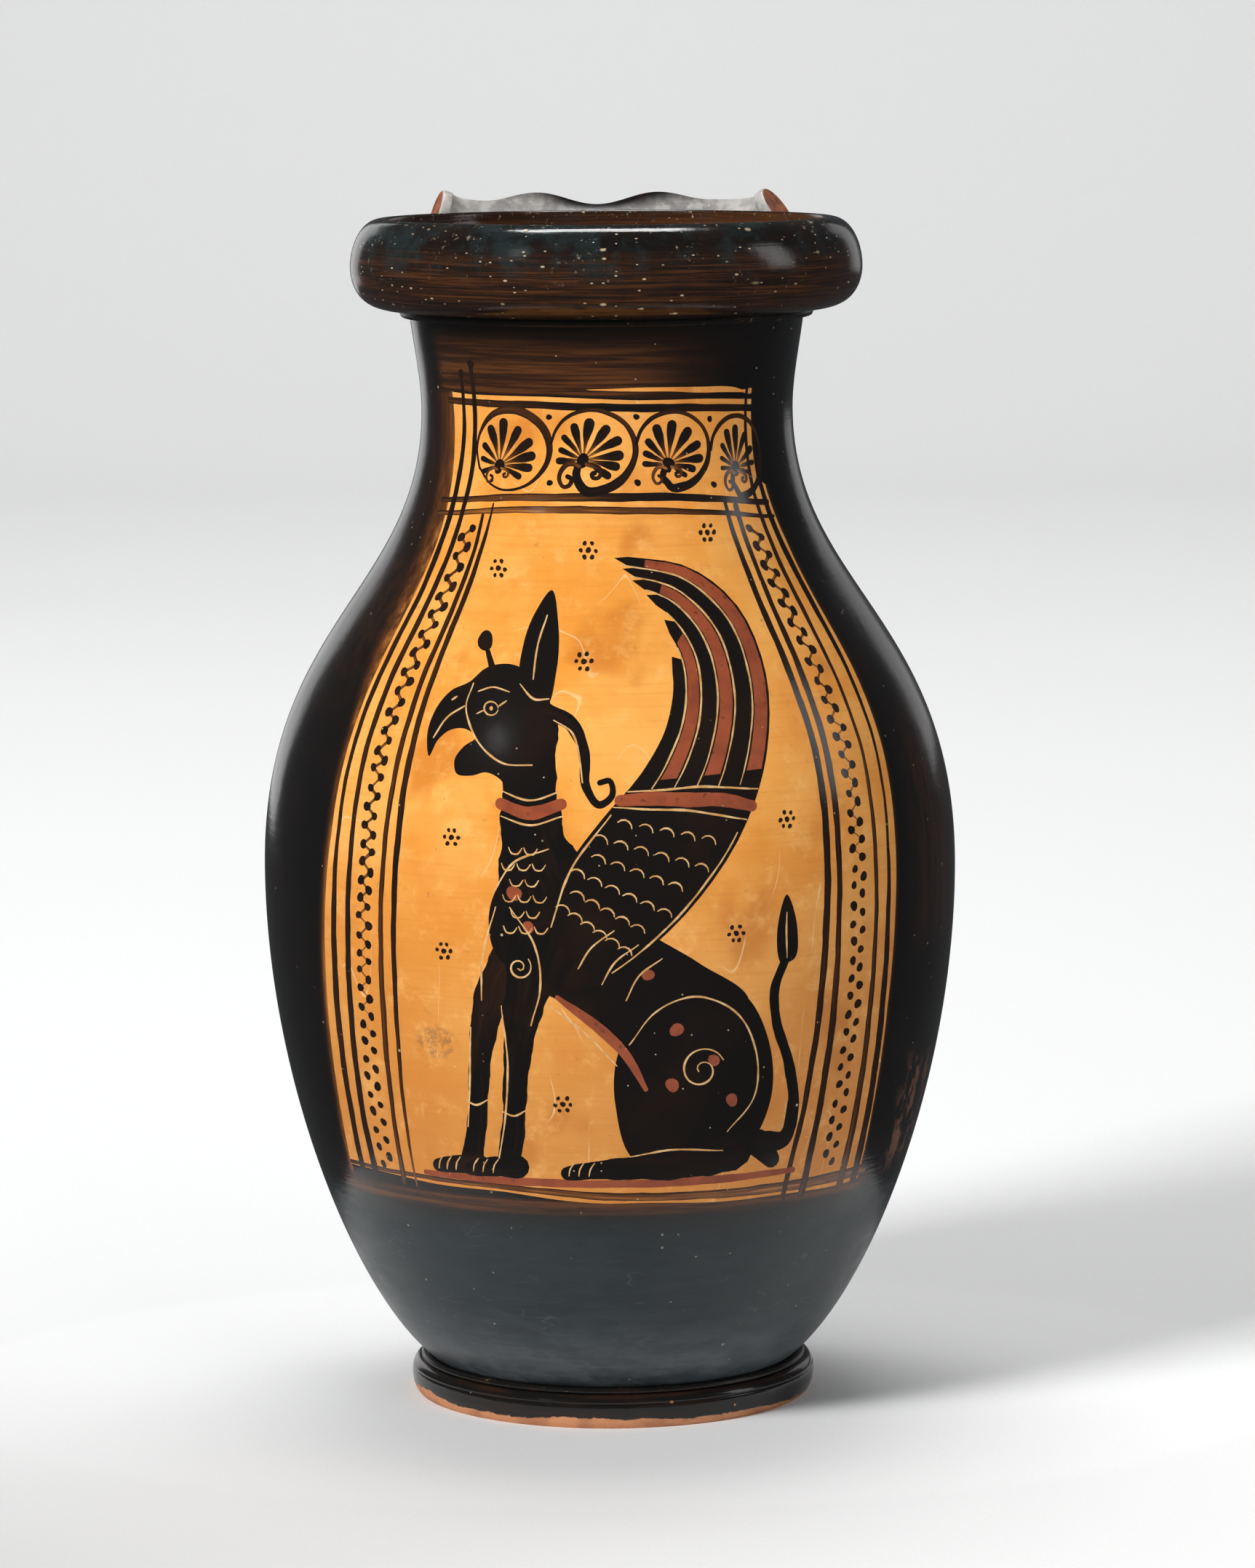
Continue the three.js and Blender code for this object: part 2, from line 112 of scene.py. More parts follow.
def offset_outline(outline: Array, distance: float) -> Array:
    """The outline moved square to itself.

    Args:
        outline: Its points.
        distance: How far, outwards where positive.

    Returns:
        The moved points.
    """
    along = np.empty_like(outline)
    along[1:-1] = outline[2:] - outline[:-2]
    along[0] = outline[1] - outline[0]
    along[-1] = outline[-1] - outline[-2]
    along /= np.linalg.norm(along, axis=1)[:, None]
    return outline + np.stack([along[:, 1], -along[:, 0]], 1) * distance


def flowing(points: Points, step: float, closed: bool = False) -> Array:
    """A smooth line through the points.

    Args:
        points: The points it passes.
        step: About how far apart the returned points lie.
        closed: Whether the line runs back to its first point, which isn't repeated.

    Returns:
        The line's points.
    """
    knots = np.asarray(points, float)
    if closed:
        knots = np.vstack([knots, knots[:1]])
    gaps = np.linalg.norm(np.diff(knots, axis=0), axis=1)
    at = np.concatenate([[0.0], np.cumsum(gaps)])
    slope = np.gradient(knots, at, axis=0)
    if closed:
        slope[0] = slope[-1] = (knots[1] - knots[-2]) / (gaps[0] + gaps[-1])
    t = np.linspace(0, at[-1], max(int(at[-1] / step), 2) + 1)
    i = np.clip(np.searchsorted(at, t, side="right") - 1, 0, len(gaps) - 1)
    h = gaps[i][:, None]
    u = (t - at[i])[:, None] / h
    line = (
        knots[i] * (1 + 2 * u) * (1 - u) ** 2
        + slope[i] * h * u * (1 - u) ** 2
        + knots[i + 1] * u * u * (3 - 2 * u)
        + slope[i + 1] * h * u * u * (u - 1)
    )
    return line[:-1] if closed else line


def nearest_on(line: Array, spots: Array) -> tuple[Array, Array]:
    """Where on a line each spot is closest to.

    Args:
        line: Points of the line.
        spots: The spots to measure.

    Returns:
        For each spot its signed distance from the line, and the place along it counted in points.
    """
    a, b = line[:-1], line[1:]
    run = b - a
    length = np.maximum((run**2).sum(1), 1e-12)
    gap = spots[:, None] - a[None]
    t = np.clip((gap * run[None]).sum(2) / length, 0, 1)
    off = gap - t[..., None] * run[None]
    distance = (off**2).sum(2)
    best = distance.argmin(1)
    row = np.arange(len(spots))
    cross = run[best, 0] * off[row, best, 1] - run[best, 1] * off[row, best, 0]
    side = np.where(cross < 0, -1.0, 1.0)
    return np.sqrt(distance[row, best]) * side, best + t[row, best]


def within(spots: Array, loop: Array) -> Array:
    """Which spots a closed loop goes round, also where it crosses itself.

    Args:
        spots: The spots to test.
        loop: The loop's points.

    Returns:
        True for each spot inside.
    """
    a, b = loop, np.roll(loop, -1, axis=0)
    x, y = spots[:, :1], spots[:, 1:]
    cross = (b[:, 0] - a[:, 0]) * (y - a[:, 1]) - (x - a[:, 0]) * (b[:, 1] - a[:, 1])
    up = (a[:, 1] <= y) & (b[:, 1] > y) & (cross > 0)
    down = (a[:, 1] > y) & (b[:, 1] <= y) & (cross < 0)
    return up.sum(1) != down.sum(1)


# Sizes


@dataclass(frozen=True)
class BodySizes:
    """The thrown body and neck. Rises are counted from the station below."""

    base_level: float = 7.2
    base_radius: float = 38.7
    belly_radius: float = 75.6
    belly_rise: float = 109.6
    neck_radius: float = 40.3
    neck_rise: float = 100.0
    top_radius: float = 42.9
    top_rise: float = 21.6
    wall: float = 4.8
    floor: float = 6.0
    belly_spread: float = 0.453
    belly_foot_pull: float = 0.101
    belly_girth_pull: float = 0.447
    shoulder_girth_pull: float = 0.541
    shoulder_neck_pull: float = 0.395
    flare_pull: float = 0.3
    flare_turn: float = 0.35

    @property
    def girth_level(self) -> float:
        """Level of the greatest width."""
        return self.base_level + self.belly_rise

    @property
    def waist_level(self) -> float:
        """Level of the neck's narrowest place."""
        return self.girth_level + self.neck_rise

    @property
    def top_level(self) -> float:
        """Level of the neck's top, under the mouth ring."""
        return self.waist_level + self.top_rise

    def outline(self, steps: tuple[int, int, int]) -> Array:
        """The outer outline.

        Args:
            steps: Stretches of belly, shoulder and flare.

        Returns:
            Rows of radius and level.
        """
        base, girth, waist, top = self.base_level, self.girth_level, self.waist_level, self.top_level
        spread = self.belly_radius - self.base_radius
        flare = self.top_radius - self.neck_radius
        low_pull = (self.base_radius + spread * self.belly_spread,
                    base + self.belly_rise * self.belly_foot_pull)
        girth_pull = (self.belly_radius, base + self.belly_rise * (1 - self.belly_girth_pull))
        belly = bezier((self.base_radius, base), low_pull, girth_pull, (self.belly_radius, girth), steps[0])
        high_pull = (self.belly_radius, girth + self.neck_rise * self.shoulder_girth_pull)
        neck_pull = (self.neck_radius, waist - self.neck_rise * self.shoulder_neck_pull)
        narrow = (self.neck_radius, waist)
        shoulder = bezier((self.belly_radius, girth), high_pull, neck_pull, narrow, steps[1])
        flare_pull = (self.neck_radius, waist + self.top_rise * self.flare_pull)
        turn = (self.top_radius - flare * self.flare_turn, top - self.top_rise * self.flare_turn)
        neck = bezier(narrow, flare_pull, turn, (self.top_radius, top), steps[2])
        return joined(belly, shoulder, neck)


@dataclass
class Skin:
    """The body's outer surface: its radius, its slope and its places."""

    sizes: BodySizes
    steps: tuple[int, int, int] = (900, 900, 300)

    def __post_init__(self) -> None:
        """Keeps a fine table of the outline."""
        self._fine = self.sizes.outline(self.steps)
        slope = np.gradient(self._fine, axis=0)
        slope /= np.linalg.norm(slope, axis=1)[:, None]
        self._facing = np.stack([slope[:, 1], -slope[:, 0]], 1)

    def radius(self, level: Array | float) -> Array:
        """The radius at each level."""
        return np.interp(level, self._fine[:, 1], self._fine[:, 0])

    def place(self, angle: Array, level: Array, depth: float = 0.0) -> Array:
        """Points on the surface or under it.

        Args:
            angle: Their angles.
            level: Their levels.
            depth: How far under.

        Returns:
            Their coordinates.
        """
        r = self.radius(level) - depth
        a = np.radians(angle)
        return np.stack([r * np.sin(a), -r * np.cos(a), np.asarray(level, float)], -1)

    def facing(self, angle: Array, level: Array) -> Array:
        """The outward direction on the surface.

        Args:
            angle: Angles of the places.
            level: Their levels.

        Returns:
            A vector of length 1 for each.
        """
        out = np.interp(level, self._fine[:, 1], self._facing[:, 0])
        up = np.interp(level, self._fine[:, 1], self._facing[:, 1])
        a = np.radians(angle)
        return np.stack([out * np.sin(a), -out * np.cos(a), up], -1)


# Meshes


@dataclass
class Form:
    """One piece's mesh in the making, in millimetres, with a map place for every corner."""

    points: Array
    faces: list[tuple[int, ...]]
    maps: list[Pair]
    slots: list[int] = field(default_factory=list)

    def shaped(self, change: Callable[[Array], Array]) -> Form:
        """The same form with its points changed by a function of the whole array."""
        return Form(change(self.points), self.faces, self.maps, self.slots)


def revolve(outline: Array, columns: int = TURNED_COLUMNS, closed: bool = True) -> Form:
    """Turns an outline round the axis.

    Args:
        outline: Radius and level, anticlockwise, up on the outer side.
        columns: Facets round the axis.
        closed: Whether the outline runs back to its first point.

    Returns:
        The form, its first column at the back.
    """
    rows = np.vstack([outline, outline[:1]]) if closed else outline
    run = run_along(rows)
    run /= run[-1]
    turn = np.radians(np.arange(columns) * 360 / columns - 180)
    points, ids = [], []
    for radius, level in outline:
        first = len(points)
        if radius < 1e-6:
            points.append((0.0, 0.0, level))
            ids.append([first] * columns)
            continue
        points.extend((radius * math.sin(a), -radius * math.cos(a), level) for a in turn)
        ids.append(list(range(first, first + columns)))
    if closed:
        ids.append(ids[0])
    faces, maps = [], []
    for i in range(len(rows) - 1):
        for k in range(columns):
            n = (k + 1) % columns
            low, high = ids[i], ids[i + 1]
            ring = [(low[k], k, i), (low[n], k + 1, i), (high[n], k + 1, i + 1), (high[k], k, i + 1)]
            kept = [c for j, c in enumerate(ring) if c[0] != ring[j - 1][0]]
            faces.append(tuple(c[0] for c in kept))
            maps.extend((c[1] / columns, run[c[2]]) for c in kept)
    return Form(np.array(points), faces, maps)


def loft(rings: Array) -> Form:
    """Skins a row of rings, each anticlockwise about the row's direction, and closes both ends.

    Args:
        rings: An array of rings, points and coordinates.

    Returns:
        The form.
    """
    count, sides = rings.shape[:2]
    points = np.vstack([rings.reshape(-1, 3), rings[0].mean(0), rings[-1].mean(0)])
    faces, maps = [], []
    for k in range(count - 1):
        for i in range(sides):
            n = (i + 1) % sides
            faces.append((k * sides + i, k * sides + n, (k + 1) * sides + n, (k + 1) * sides + i))
            for c, r in ((i, k), (i + 1, k), (i + 1, k + 1), (i, k + 1)):
                maps.append((c / sides, 0.06 + 0.88 * r / (count - 1)))
    for k, hub, low in ((0, count * sides, True), (count - 1, count * sides + 1, False)):
        for i in range(sides):
            a, b = k * sides + i, k * sides + (i + 1) % sides
            faces.append((hub, b, a) if low else (hub, a, b))
            edge = 0.055 if low else 0.945
            ends = [(i / sides, edge), ((i + 1) / sides, edge)]
            hub_map = ((i + 0.5) / sides, 0.0 if low else 1.0)
            maps.extend([hub_map, *(reversed(ends) if low else ends)])
    return Form(points, faces, maps)


class Slot(Enum):
    """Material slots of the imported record."""

    GLOSS = "black_gloss"
    CLAY = "bare_clay"


def as_piece(name: str, form: Form, finishes: Sequence[Material], node: str,
             crease: float | None = 38.0) -> bpy.types.Object:
    """Makes a form into a piece that stands for a CAD node.

    Args:
        name: The piece's name.
        form: Its mesh in millimetres.
        finishes: Its materials, in the order of the form's slots.
        node: The CAD node that it replaces.
        crease: Angle in degrees from which an edge stays sharp.

    Returns:
        The new object.
    """
    mesh = bpy.data.meshes.new(name)
    mesh.from_pydata((np.asarray(form.points) * MM).tolist(), [], form.faces)
    for finish in finishes:
        mesh.materials.append(finish)
    if form.slots:
        mesh.polygons.foreach_set("material_index", form.slots)
    mesh.polygons.foreach_set("use_smooth", [True] * len(form.faces))
    layer = mesh.uv_layers.new(name="OFBake")
    layer.data.foreach_set("uv", np.asarray(form.maps, np.float32).ravel())
    mesh.update()
    if crease is not None:
        mesh.set_sharp_from_angle(angle=math.radians(crease))
    piece = bpy.data.objects.new(name, mesh)
    bpy.context.scene.collection.objects.link(piece)
    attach(piece, "root")
    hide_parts(node)
    LOG.info("%s: %d faces for %s", name, len(form.faces), node)
    return piece


# Marks of the brush


class Paint(Enum):
    """What covers a spot of the body's front, in the order of its material slots."""

    GROUND = 0
    CLAY = 1
    SLIP = 2
    RED = 3
    SCRATCH = 4


@dataclass(frozen=True)
class Board:
    """A flat sheet laid against the vessel: millimetres across from an angle and up from a level."""

    skin: Skin
    angle: float = 0.0
    level: float = 0.0

    def onto(self, points: Array) -> Array:
        """Angles and levels of points on the sheet."""
        level = points[:, 1] + self.level
        return np.stack([self.angle + np.degrees(points[:, 0] / self.skin.radius(level)), level], 1)

    def off(self, places: Array) -> Array:
        """Points on the sheet of angles and levels."""
        across = np.radians(places[:, 0] - self.angle) * self.skin.radius(places[:, 1])
        return np.stack([across, places[:, 1] - self.level], 1)


@dataclass
class Mark:
    """One painted or scratched shape: its outline in angles and levels, and how it was drawn.

    A brush line also keeps its way on the board, and half its width and the load of slip, 0 to 1,
    at each point of the way. Its tone is a number of its own, which keeps its streaks its own.
    """

    loop: Array
    paint: Paint
    board: Board
    path: Array | None = None
    half: Array | None = None
    load: Array | None = None
    tone: float = 0.0


@dataclass
class Brush:
    """Lays marks with a slightly unsteady hand."""

    seed: int
    marks: list[Mark] = field(default_factory=list)

    def __post_init__(self) -> None:
        """Steadies the hand, so that each run draws alike."""
        self.hand = random.Random(self.seed)

    def _waver(self, run: Array, size: float, reach: float) -> Array:
        """A slow random wave.

        Args:
            run: Millimetres along a line.
            size: About how high the wave is.
            reach: Its longest wavelength.

        Returns:
            Its height at each of them.
        """
        wave = np.zeros_like(run)
        for length in (reach, reach * 0.43, reach * 0.19):
            wave += np.sin(run * 2 * math.pi / length + self.hand.uniform(0, 6.3)) * length / reach
        return wave * size / 1.6

    def stroke(self, board: Board, points: Points, widths: Sequence[float],
               paint: Paint = Paint.SLIP, loads: Sequence[float] = (1.0,), step: float = 0.9,
               shake: float = 0.06, swell: float = 0.07) -> None:
        """Draws one brush line.

        Args:
            board: The sheet it is drawn on.
            points: The places it passes, in millimetres on the sheet.
            widths: Widths spread evenly along it.
            paint: What it is drawn with.
            loads: How much slip the brush gives, spread evenly along it.
            step: About how far apart the line's own points lie.
            shake: How far the hand strays, in millimetres.
            swell: How much the width varies, as a share of it.
        """
        path = flowing(points, step)
        run = run_along(path)
        share = run / run[-1]
        half = np.interp(share, np.linspace(0, 1, len(widths)), widths) / 2
        half = half * (1 + self._waver(run, swell, 9.0))
        load = np.interp(share, np.linspace(0, 1, len(loads)), loads)
        along = np.gradient(path, axis=0)
        along /= np.maximum(np.linalg.norm(along, axis=1), 1e-9)[:, None]
        side = np.stack([-along[:, 1], along[:, 0]], 1)
        path = path + side * self._waver(run, shake, 16.0)[:, None]
        ends = []
        for at, way in ((-1, 1.0), (0, -1.0)):
            turn = np.linspace(math.pi / 2, -math.pi / 2, 7)[1:-1]
            arc = np.cos(turn)[:, None] * along[at] * way + np.sin(turn)[:, None] * side[at] * way
            ends.append(path[at] + arc * half[at] if half[at] > 0.1 else path[at:at + 1] if at else path[:1])
        loop = np.vstack([path + side * half[:, None], ends[0], (path - side * half[:, None])[::-1], ends[1]])
        self.marks.append(
            Mark(board.onto(loop), paint, board, path, half, load, self.hand.uniform(0, 90)))

    def dot(self, board: Board, place: Sequence[float], radius: float, paint: Paint = Paint.SLIP,
            load: float = 1.0) -> None:
        """Sets one slightly uneven dot.

        Args:
            board: The sheet it is set on.
            place: Its middle on the sheet.
            radius: Its radius.
            paint: What it is made with.
            load: How much slip it has.
        """
        count = max(int(radius * 9), 10)
        turn = np.linspace(0, 2 * math.pi, count, endpoint=False)
        lean = self.hand.uniform(0, 6.3)
        reach = radius * (1 + 0.09 * np.cos(2 * turn + lean) + 0.05 * np.cos(3 * turn - lean))
        centre = np.asarray(place, float)
        loop = centre + np.stack([np.cos(turn) * reach, np.sin(turn) * reach], 1)
        path = np.stack([centre, centre + (1e-3, 0)])
        self.marks.append(Mark(board.onto(loop), paint, board, path, np.full(2, radius), np.full(2, load),
                               self.hand.uniform(0, 90)))

    def fill(self, board: Board, points: Points, paint: Paint = Paint.SLIP,
             smooth: bool = True, step: float = 0.9) -> None:
        """Fills a closed outline."""
        loop = flowing(points, step, closed=True) if smooth else np.asarray(points, float)
        self.marks.append(Mark(board.onto(loop), paint, board))

    def scratch(self, board: Board, points: Points, width: float = 0.42) -> None:
        """Cuts a thin line through the slip to the clay."""
        self.stroke(board, points, (width * 0.55, width, width, width * 0.6), Paint.SCRATCH, step=0.7,
                    shake=0.05, swell=0.22)


# The painted front


STATIONS = (223, 210, 200, 190, 178, 164, 148, 130, 112, 92, 70, 56)


@dataclass(frozen=True)
class Upright:
    """A line that runs down the border, with its angle and width at each station."""

    angles: Floats
    widths: Floats = (1,) * len(STATIONS)
    loads: Floats = (1,)
    top: float = 224.0
    bottom: float = 54.8

    def at(self, level: Array | float) -> Array:
        """The angle at each level."""
        return np.interp(level, STATIONS[::-1], self.angles[::-1])

    def wide_at(self, level: Array) -> Array:
        """The width at each level."""
        return np.interp(level, STATIONS[::-1], self.widths[::-1])


@dataclass(frozen=True)
class Level:
    """A line that runs round the vessel: its level at some angles, its widths and its loads."""

    angles: Floats
    levels: Floats
    widths: Floats = (1,)
    loads: Floats = (1,)

    def at(self, angle: Array | float) -> Array:
        """The level at each angle."""
        return np.interp(angle, self.angles, self.levels)


@dataclass(frozen=True)
class PanelLayout:
    """Where the panel's edges and lines run on the vessel. Lines are counted from outside in."""

    left_edge: Upright = Upright(
        (-54.4, -53.1, -51.9, -51, -50.7, -51, -51.4, -51.8, -53.2, -54.4, -55.9, -57.4))
    right_edge: Upright = Upright((53, 53, 53.2, 54.5, 54.6, 55.1, 54.9, 54, 53.4, 52.9, 53.2, 53.8))
    neck_edge: float = 49.7
    neck_edge_level: float = 202.4
    strip_top: Level = Level((-57, -46, -20, -10, 0, 10, 30, 38, 45, 50),
                             (222, 221.7, 221.8, 221.6, 221.3, 221, 220.95, 220.7, 220.4, 220.2))
    foot: Level = Level((-57, -40, -20, 0, 36, 56), (57, 56.6, 55.6, 53.7, 53.1, 53.6))
    left: tuple[Upright, ...] = (
        Upright((-48.9, -48.9, -49.5, -49.3, -48.8, -49.4, -49.9, -50, -50.7, -51.6, -52.5, -53.4),
                (1, 1.4, 1.6, 1.7, 1.6, 1.6, 1.3, 1.2, 1.9, 2.1, 2, 1.9),
                (1, 0.95, 0.85, 0.8, 0.85, 0.8, 0.9), 226),
        Upright((-44.2, -43.8, -44.5, -44.9, -45, -45.9, -46.4, -46.4, -47.1, -48, -49.1, -49.4),
                (1.2, 1.4, 1.3, 1.4, 1.6, 1.7, 1.5, 1.4, 1.7, 1.8, 1.9, 2.1),
                (1, 0.95, 0.8, 0.75, 0.9, 0.85, 0.9), 228.2),
        Upright((-37, -37, -37, -36.7, -36.9, -37.9, -38.4, -38.9, -39.6, -40.2, -41.1, -41.8),
                (0.7, 0.7, 0.7, 1, 1.3, 1.4, 1.4, 1.3, 1.3, 1.6, 1.2, 1.5),
                (0.95, 0.8, 0.65, 0.7, 0.6, 0.65, 0.6), 196.5, 55.5),
        Upright((-34.1, -34.1, -34.1, -34.5, -34.9, -35.6, -36, -36.3, -36.9, -37.4, -38.4, -38.8),
                (0.3, 0.3, 0.3, 1.1, 1.4, 1.4, 1.6, 1.6, 1.4, 1.2, 0.9, 0.5),
                (0.9, 0.85, 0.7, 0.95, 0.85, 0.7, 0.45), 199, 55),
    )
    right: tuple[Upright, ...] = (
        Upright((50.4, 50.5, 51, 52.2, 52.8, 53.1, 52.9, 51.9, 51.4, 51.4, 51.9, 52.3),
                (1.2, 1.2, 1.5, 1.9, 1.8, 1.3, 0.9, 0.9, 1.6, 2.1, 2.2, 2.4),
                (1, 1, 0.95, 0.8, 0.85, 0.9, 0.8), 223.6, 53.6),
        Upright((47.3, 46.9, 47.2, 48.1, 48.4, 48.7, 49, 48.4, 48.3, 48.1, 48.3, 48.3),
                (0.8, 0.95, 1.1, 1.3, 1.4, 1, 1, 1.3, 1.3, 1.7, 2.1, 2.3),
                (1, 0.9, 0.75, 0.6, 0.7, 0.65, 0.6), 223.6, 53.2),
        Upright((38.2, 38.2, 38.8, 39.6, 39.8, 40.1, 40.4, 40, 39.7, 39.5, 38.8, 38.3),
                (1.5, 1.5, 1.5, 1.2, 1.3, 1.7, 1.8, 1.6, 1.4, 1.9, 1.7, 1.9),
                (0.95, 0.85, 0.85, 0.85, 0.75, 0.8, 0.75), 198, 52.8),
        Upright((34.9, 34.9, 35.3, 36.2, 36.7, 37.3, 38, 37.6, 37.1, 36.4, 35.2, 33.9),
                (0.9, 0.9, 0.9, 1.35, 1.6, 1.7, 1.8, 1.8, 1.8, 1.7, 1.4, 1.3),
                (1, 0.9, 0.95, 0.9, 0.8, 0.8, 0.75), 199.5, 52.4),
    )
    rounds: tuple[Level, ...] = (
        Level((-56, -46, -20, -10, 10, 30, 45, 51), (220.1, 220, 220, 219.75, 219.4, 219.1, 218.5, 218.25),
              (1.4, 1.55, 1.6, 1.65, 1.75, 1.6, 1.5), (0.7, 0.8, 0.9, 1, 1, 0.9, 0.95)),
        Level((-55, -46, -40, -30, -20, -10, 10, 20, 30, 38, 45, 52),
              (199, 199.35, 199.85, 200.4, 200.65, 200.75, 200.75, 200.55, 200, 199.35, 198.7, 198.2),
              (1.1, 1.2, 1.5, 1.6, 1.75, 1.8, 1.7, 1.5, 1.3, 1.2), (0.7, 0.5, 0.45, 0.6, 0.95, 1, 0.9, 0.9)),
        Level((-55, -46, -40, -30, -20, -10, 0, 10, 20, 30, 38, 49, 53),
              (196.2, 196.6, 197.2, 197.8, 198.15, 198.2, 198.1, 197.9, 197.6, 197.1, 196.5, 195.4, 195.2),
              (1, 1.1, 1.35, 1.5, 1.55, 1.45, 1.15, 1, 0.7), (0.6, 0.35, 0.4, 0.5, 0.6, 0.8, 0.8)),
        Level((-57, -40, -20, 0, 20, 36, 50, 55), (57.6, 57.5, 56.95, 55.25, 54.95, 55.1, 55.4, 55.6),
              (0.9, 1, 1.2, 1.8, 1.9, 2.4, 2.4), (0.7, 0.6, 0.5, 0.42, 0.4, 0.42, 0.5)),
    )

    def right_limit(self, level: Array) -> Array:
        """The angle of the right edge, which steps in beside the frieze."""
        return np.where(level > self.neck_edge_level, self.neck_edge, self.right_edge.at(level))


@dataclass
class Border:
    """The orange panel with its framing lines and the two nets of dots."""

    skin: Skin
    layout: PanelLayout
    brush: Brush
    dot_spacing: float = 3.9
    dot_radius: float = 0.98
    net_top: float = 193.5
    net_bottom: float = 57.2
    net_gap: float = 2.6
    least_wet: float = 0.3

    def draw(self) -> None:
        """Draws the whole border."""
        lay = self.layout
        self._reserve()
        whole = Board(self.skin)
        for line in lay.rounds:
            angles = np.linspace(line.angles[0], line.angles[-1], 24)
            places = np.stack([angles, line.at(angles)], 1)
            self.brush.stroke(whole, whole.off(places), line.widths, loads=line.loads, step=2)
        for line in lay.left + lay.right:
            self._upright(line)
        for line in lay.left[:2]:
            self.brush.dot(Board(self.skin, float(line.at(line.top)), line.top), (0, 0), 1)
        self._net(lay.left[1], lay.left[2])
        self._net(lay.right[1], lay.right[2])

    def _reserve(self) -> None:
        """Leaves the clay bare inside the panel's edges, and in one more strip at the right."""
        lay = self.layout
        whole = Board(self.skin)
        falling = np.linspace(222, 57, 60)
        left = np.stack([lay.left_edge.at(falling), falling], 1)
        rising = np.linspace(53.6, 220.2, 110)
        right = np.stack([lay.right_limit(rising), rising], 1)
        across = np.linspace(49.7, -54, 40)
        top = np.stack([across, lay.strip_top.at(across)], 1)
        low = np.stack([across[::-1] * 1.03, lay.foot.at(across[::-1] * 1.03)], 1)
        low[:, 1] += 0.2 * np.sin(low[:, 0] * 0.23)
        self.brush.fill(whole, whole.off(np.vstack([left, low, right, top])), Paint.CLAY, smooth=False)
        strip = [(-6, 223.35), (0, 223.1), (10, 222.9), (20, 222.75), (28, 222.3), (38, 222.1), (45, 221.85),
                 (49.7, 221.7), (50, 222.2), (45, 222.4), (42, 223), (38, 223.35), (30, 223.5), (20, 223.65),
                 (10, 223.7), (0, 223.5)]
        self.brush.fill(whole, whole.off(np.array(strip, float)), Paint.CLAY)

    def _upright(self, line: Upright) -> None:
        """Draws one upright line.

        Args:
            line: The line.
        """
        levels = np.linspace(line.top, line.bottom, 26)
        places = np.stack([line.at(levels), levels], 1)
        board = Board(self.skin, float(places[:, 0].mean()))
        way, widths = board.off(places), line.wide_at(levels)
        self.brush.stroke(board, way, widths, loads=line.loads, step=1.8, shake=0.09)

    def _net(self, outer: Upright, inner: Upright) -> None:
        """Two staggered columns of dots joined by a dilute zigzag that thins downwards.

        Args:
            outer: The line beside them outside.
            inner: The line beside them inside.
        """
        hand = self.brush.hand
        dry_out = (75, 125) if outer.angles[0] < 0 else (95, 185)
        count = int((self.net_top - self.net_bottom) / self.dot_spacing * 2)
        knots = []
        for i in range(count + 1):
            level = self.net_top - i * self.dot_spacing / 2
            middle = float(outer.at(level) + inner.at(level)) / 2
            radius = float(self.skin.radius(level))
            side = -1 if i % 2 == (0 if middle > 0 else 1) else 1
            angle = middle + side * math.degrees(self.net_gap / 2 / radius) + hand.uniform(-0.2, 0.2)
            knots.append((angle, level + hand.uniform(-0.3, 0.3)))
        for a, b in zip(knots, knots[1:], strict=False):
            board = Board(self.skin, a[0], a[1])
            line = board.off(np.array([a, ((a[0] + b[0]) / 2, (a[1] + b[1]) / 2), b]))
            wet = float(np.interp(a[1], dry_out, (0, 1))) * hand.uniform(0.75, 1.1)
            if wet < self.least_wet:
                continue
            self.brush.stroke(board, line, (0.95 * wet, 0.65 * wet, 0.9 * wet),
                              loads=(0.8 * wet, 0.45 * wet, 0.75 * wet), step=1.2, shake=0.05)
        for angle, level in knots:
            size = self.dot_radius * hand.uniform(0.85, 1.12)
            self.brush.dot(Board(self.skin, angle, level), (0, 0), size, load=hand.uniform(0.85, 1))


@dataclass(frozen=True)
class Palmette:
    """One palmette of the frieze: a ring, a heart, a fan of petals and two curls."""

    angle: float
    level: float
    wide: float
    high: float
    heart: Pair
    boldness: Floats
    tips: tuple[Pair, ...]
    narrow: float = 1.0
    curl: float = 1.0


OPEN_FAN = ((-5.3, 0), (-5, 2.2), (-4.3, 4.7), (-2.4, 7.5), (1, 8.2), (4.7, 6.6), (6.9, 3.7), (7.3, 0.8),
            (5.6, -1.4))


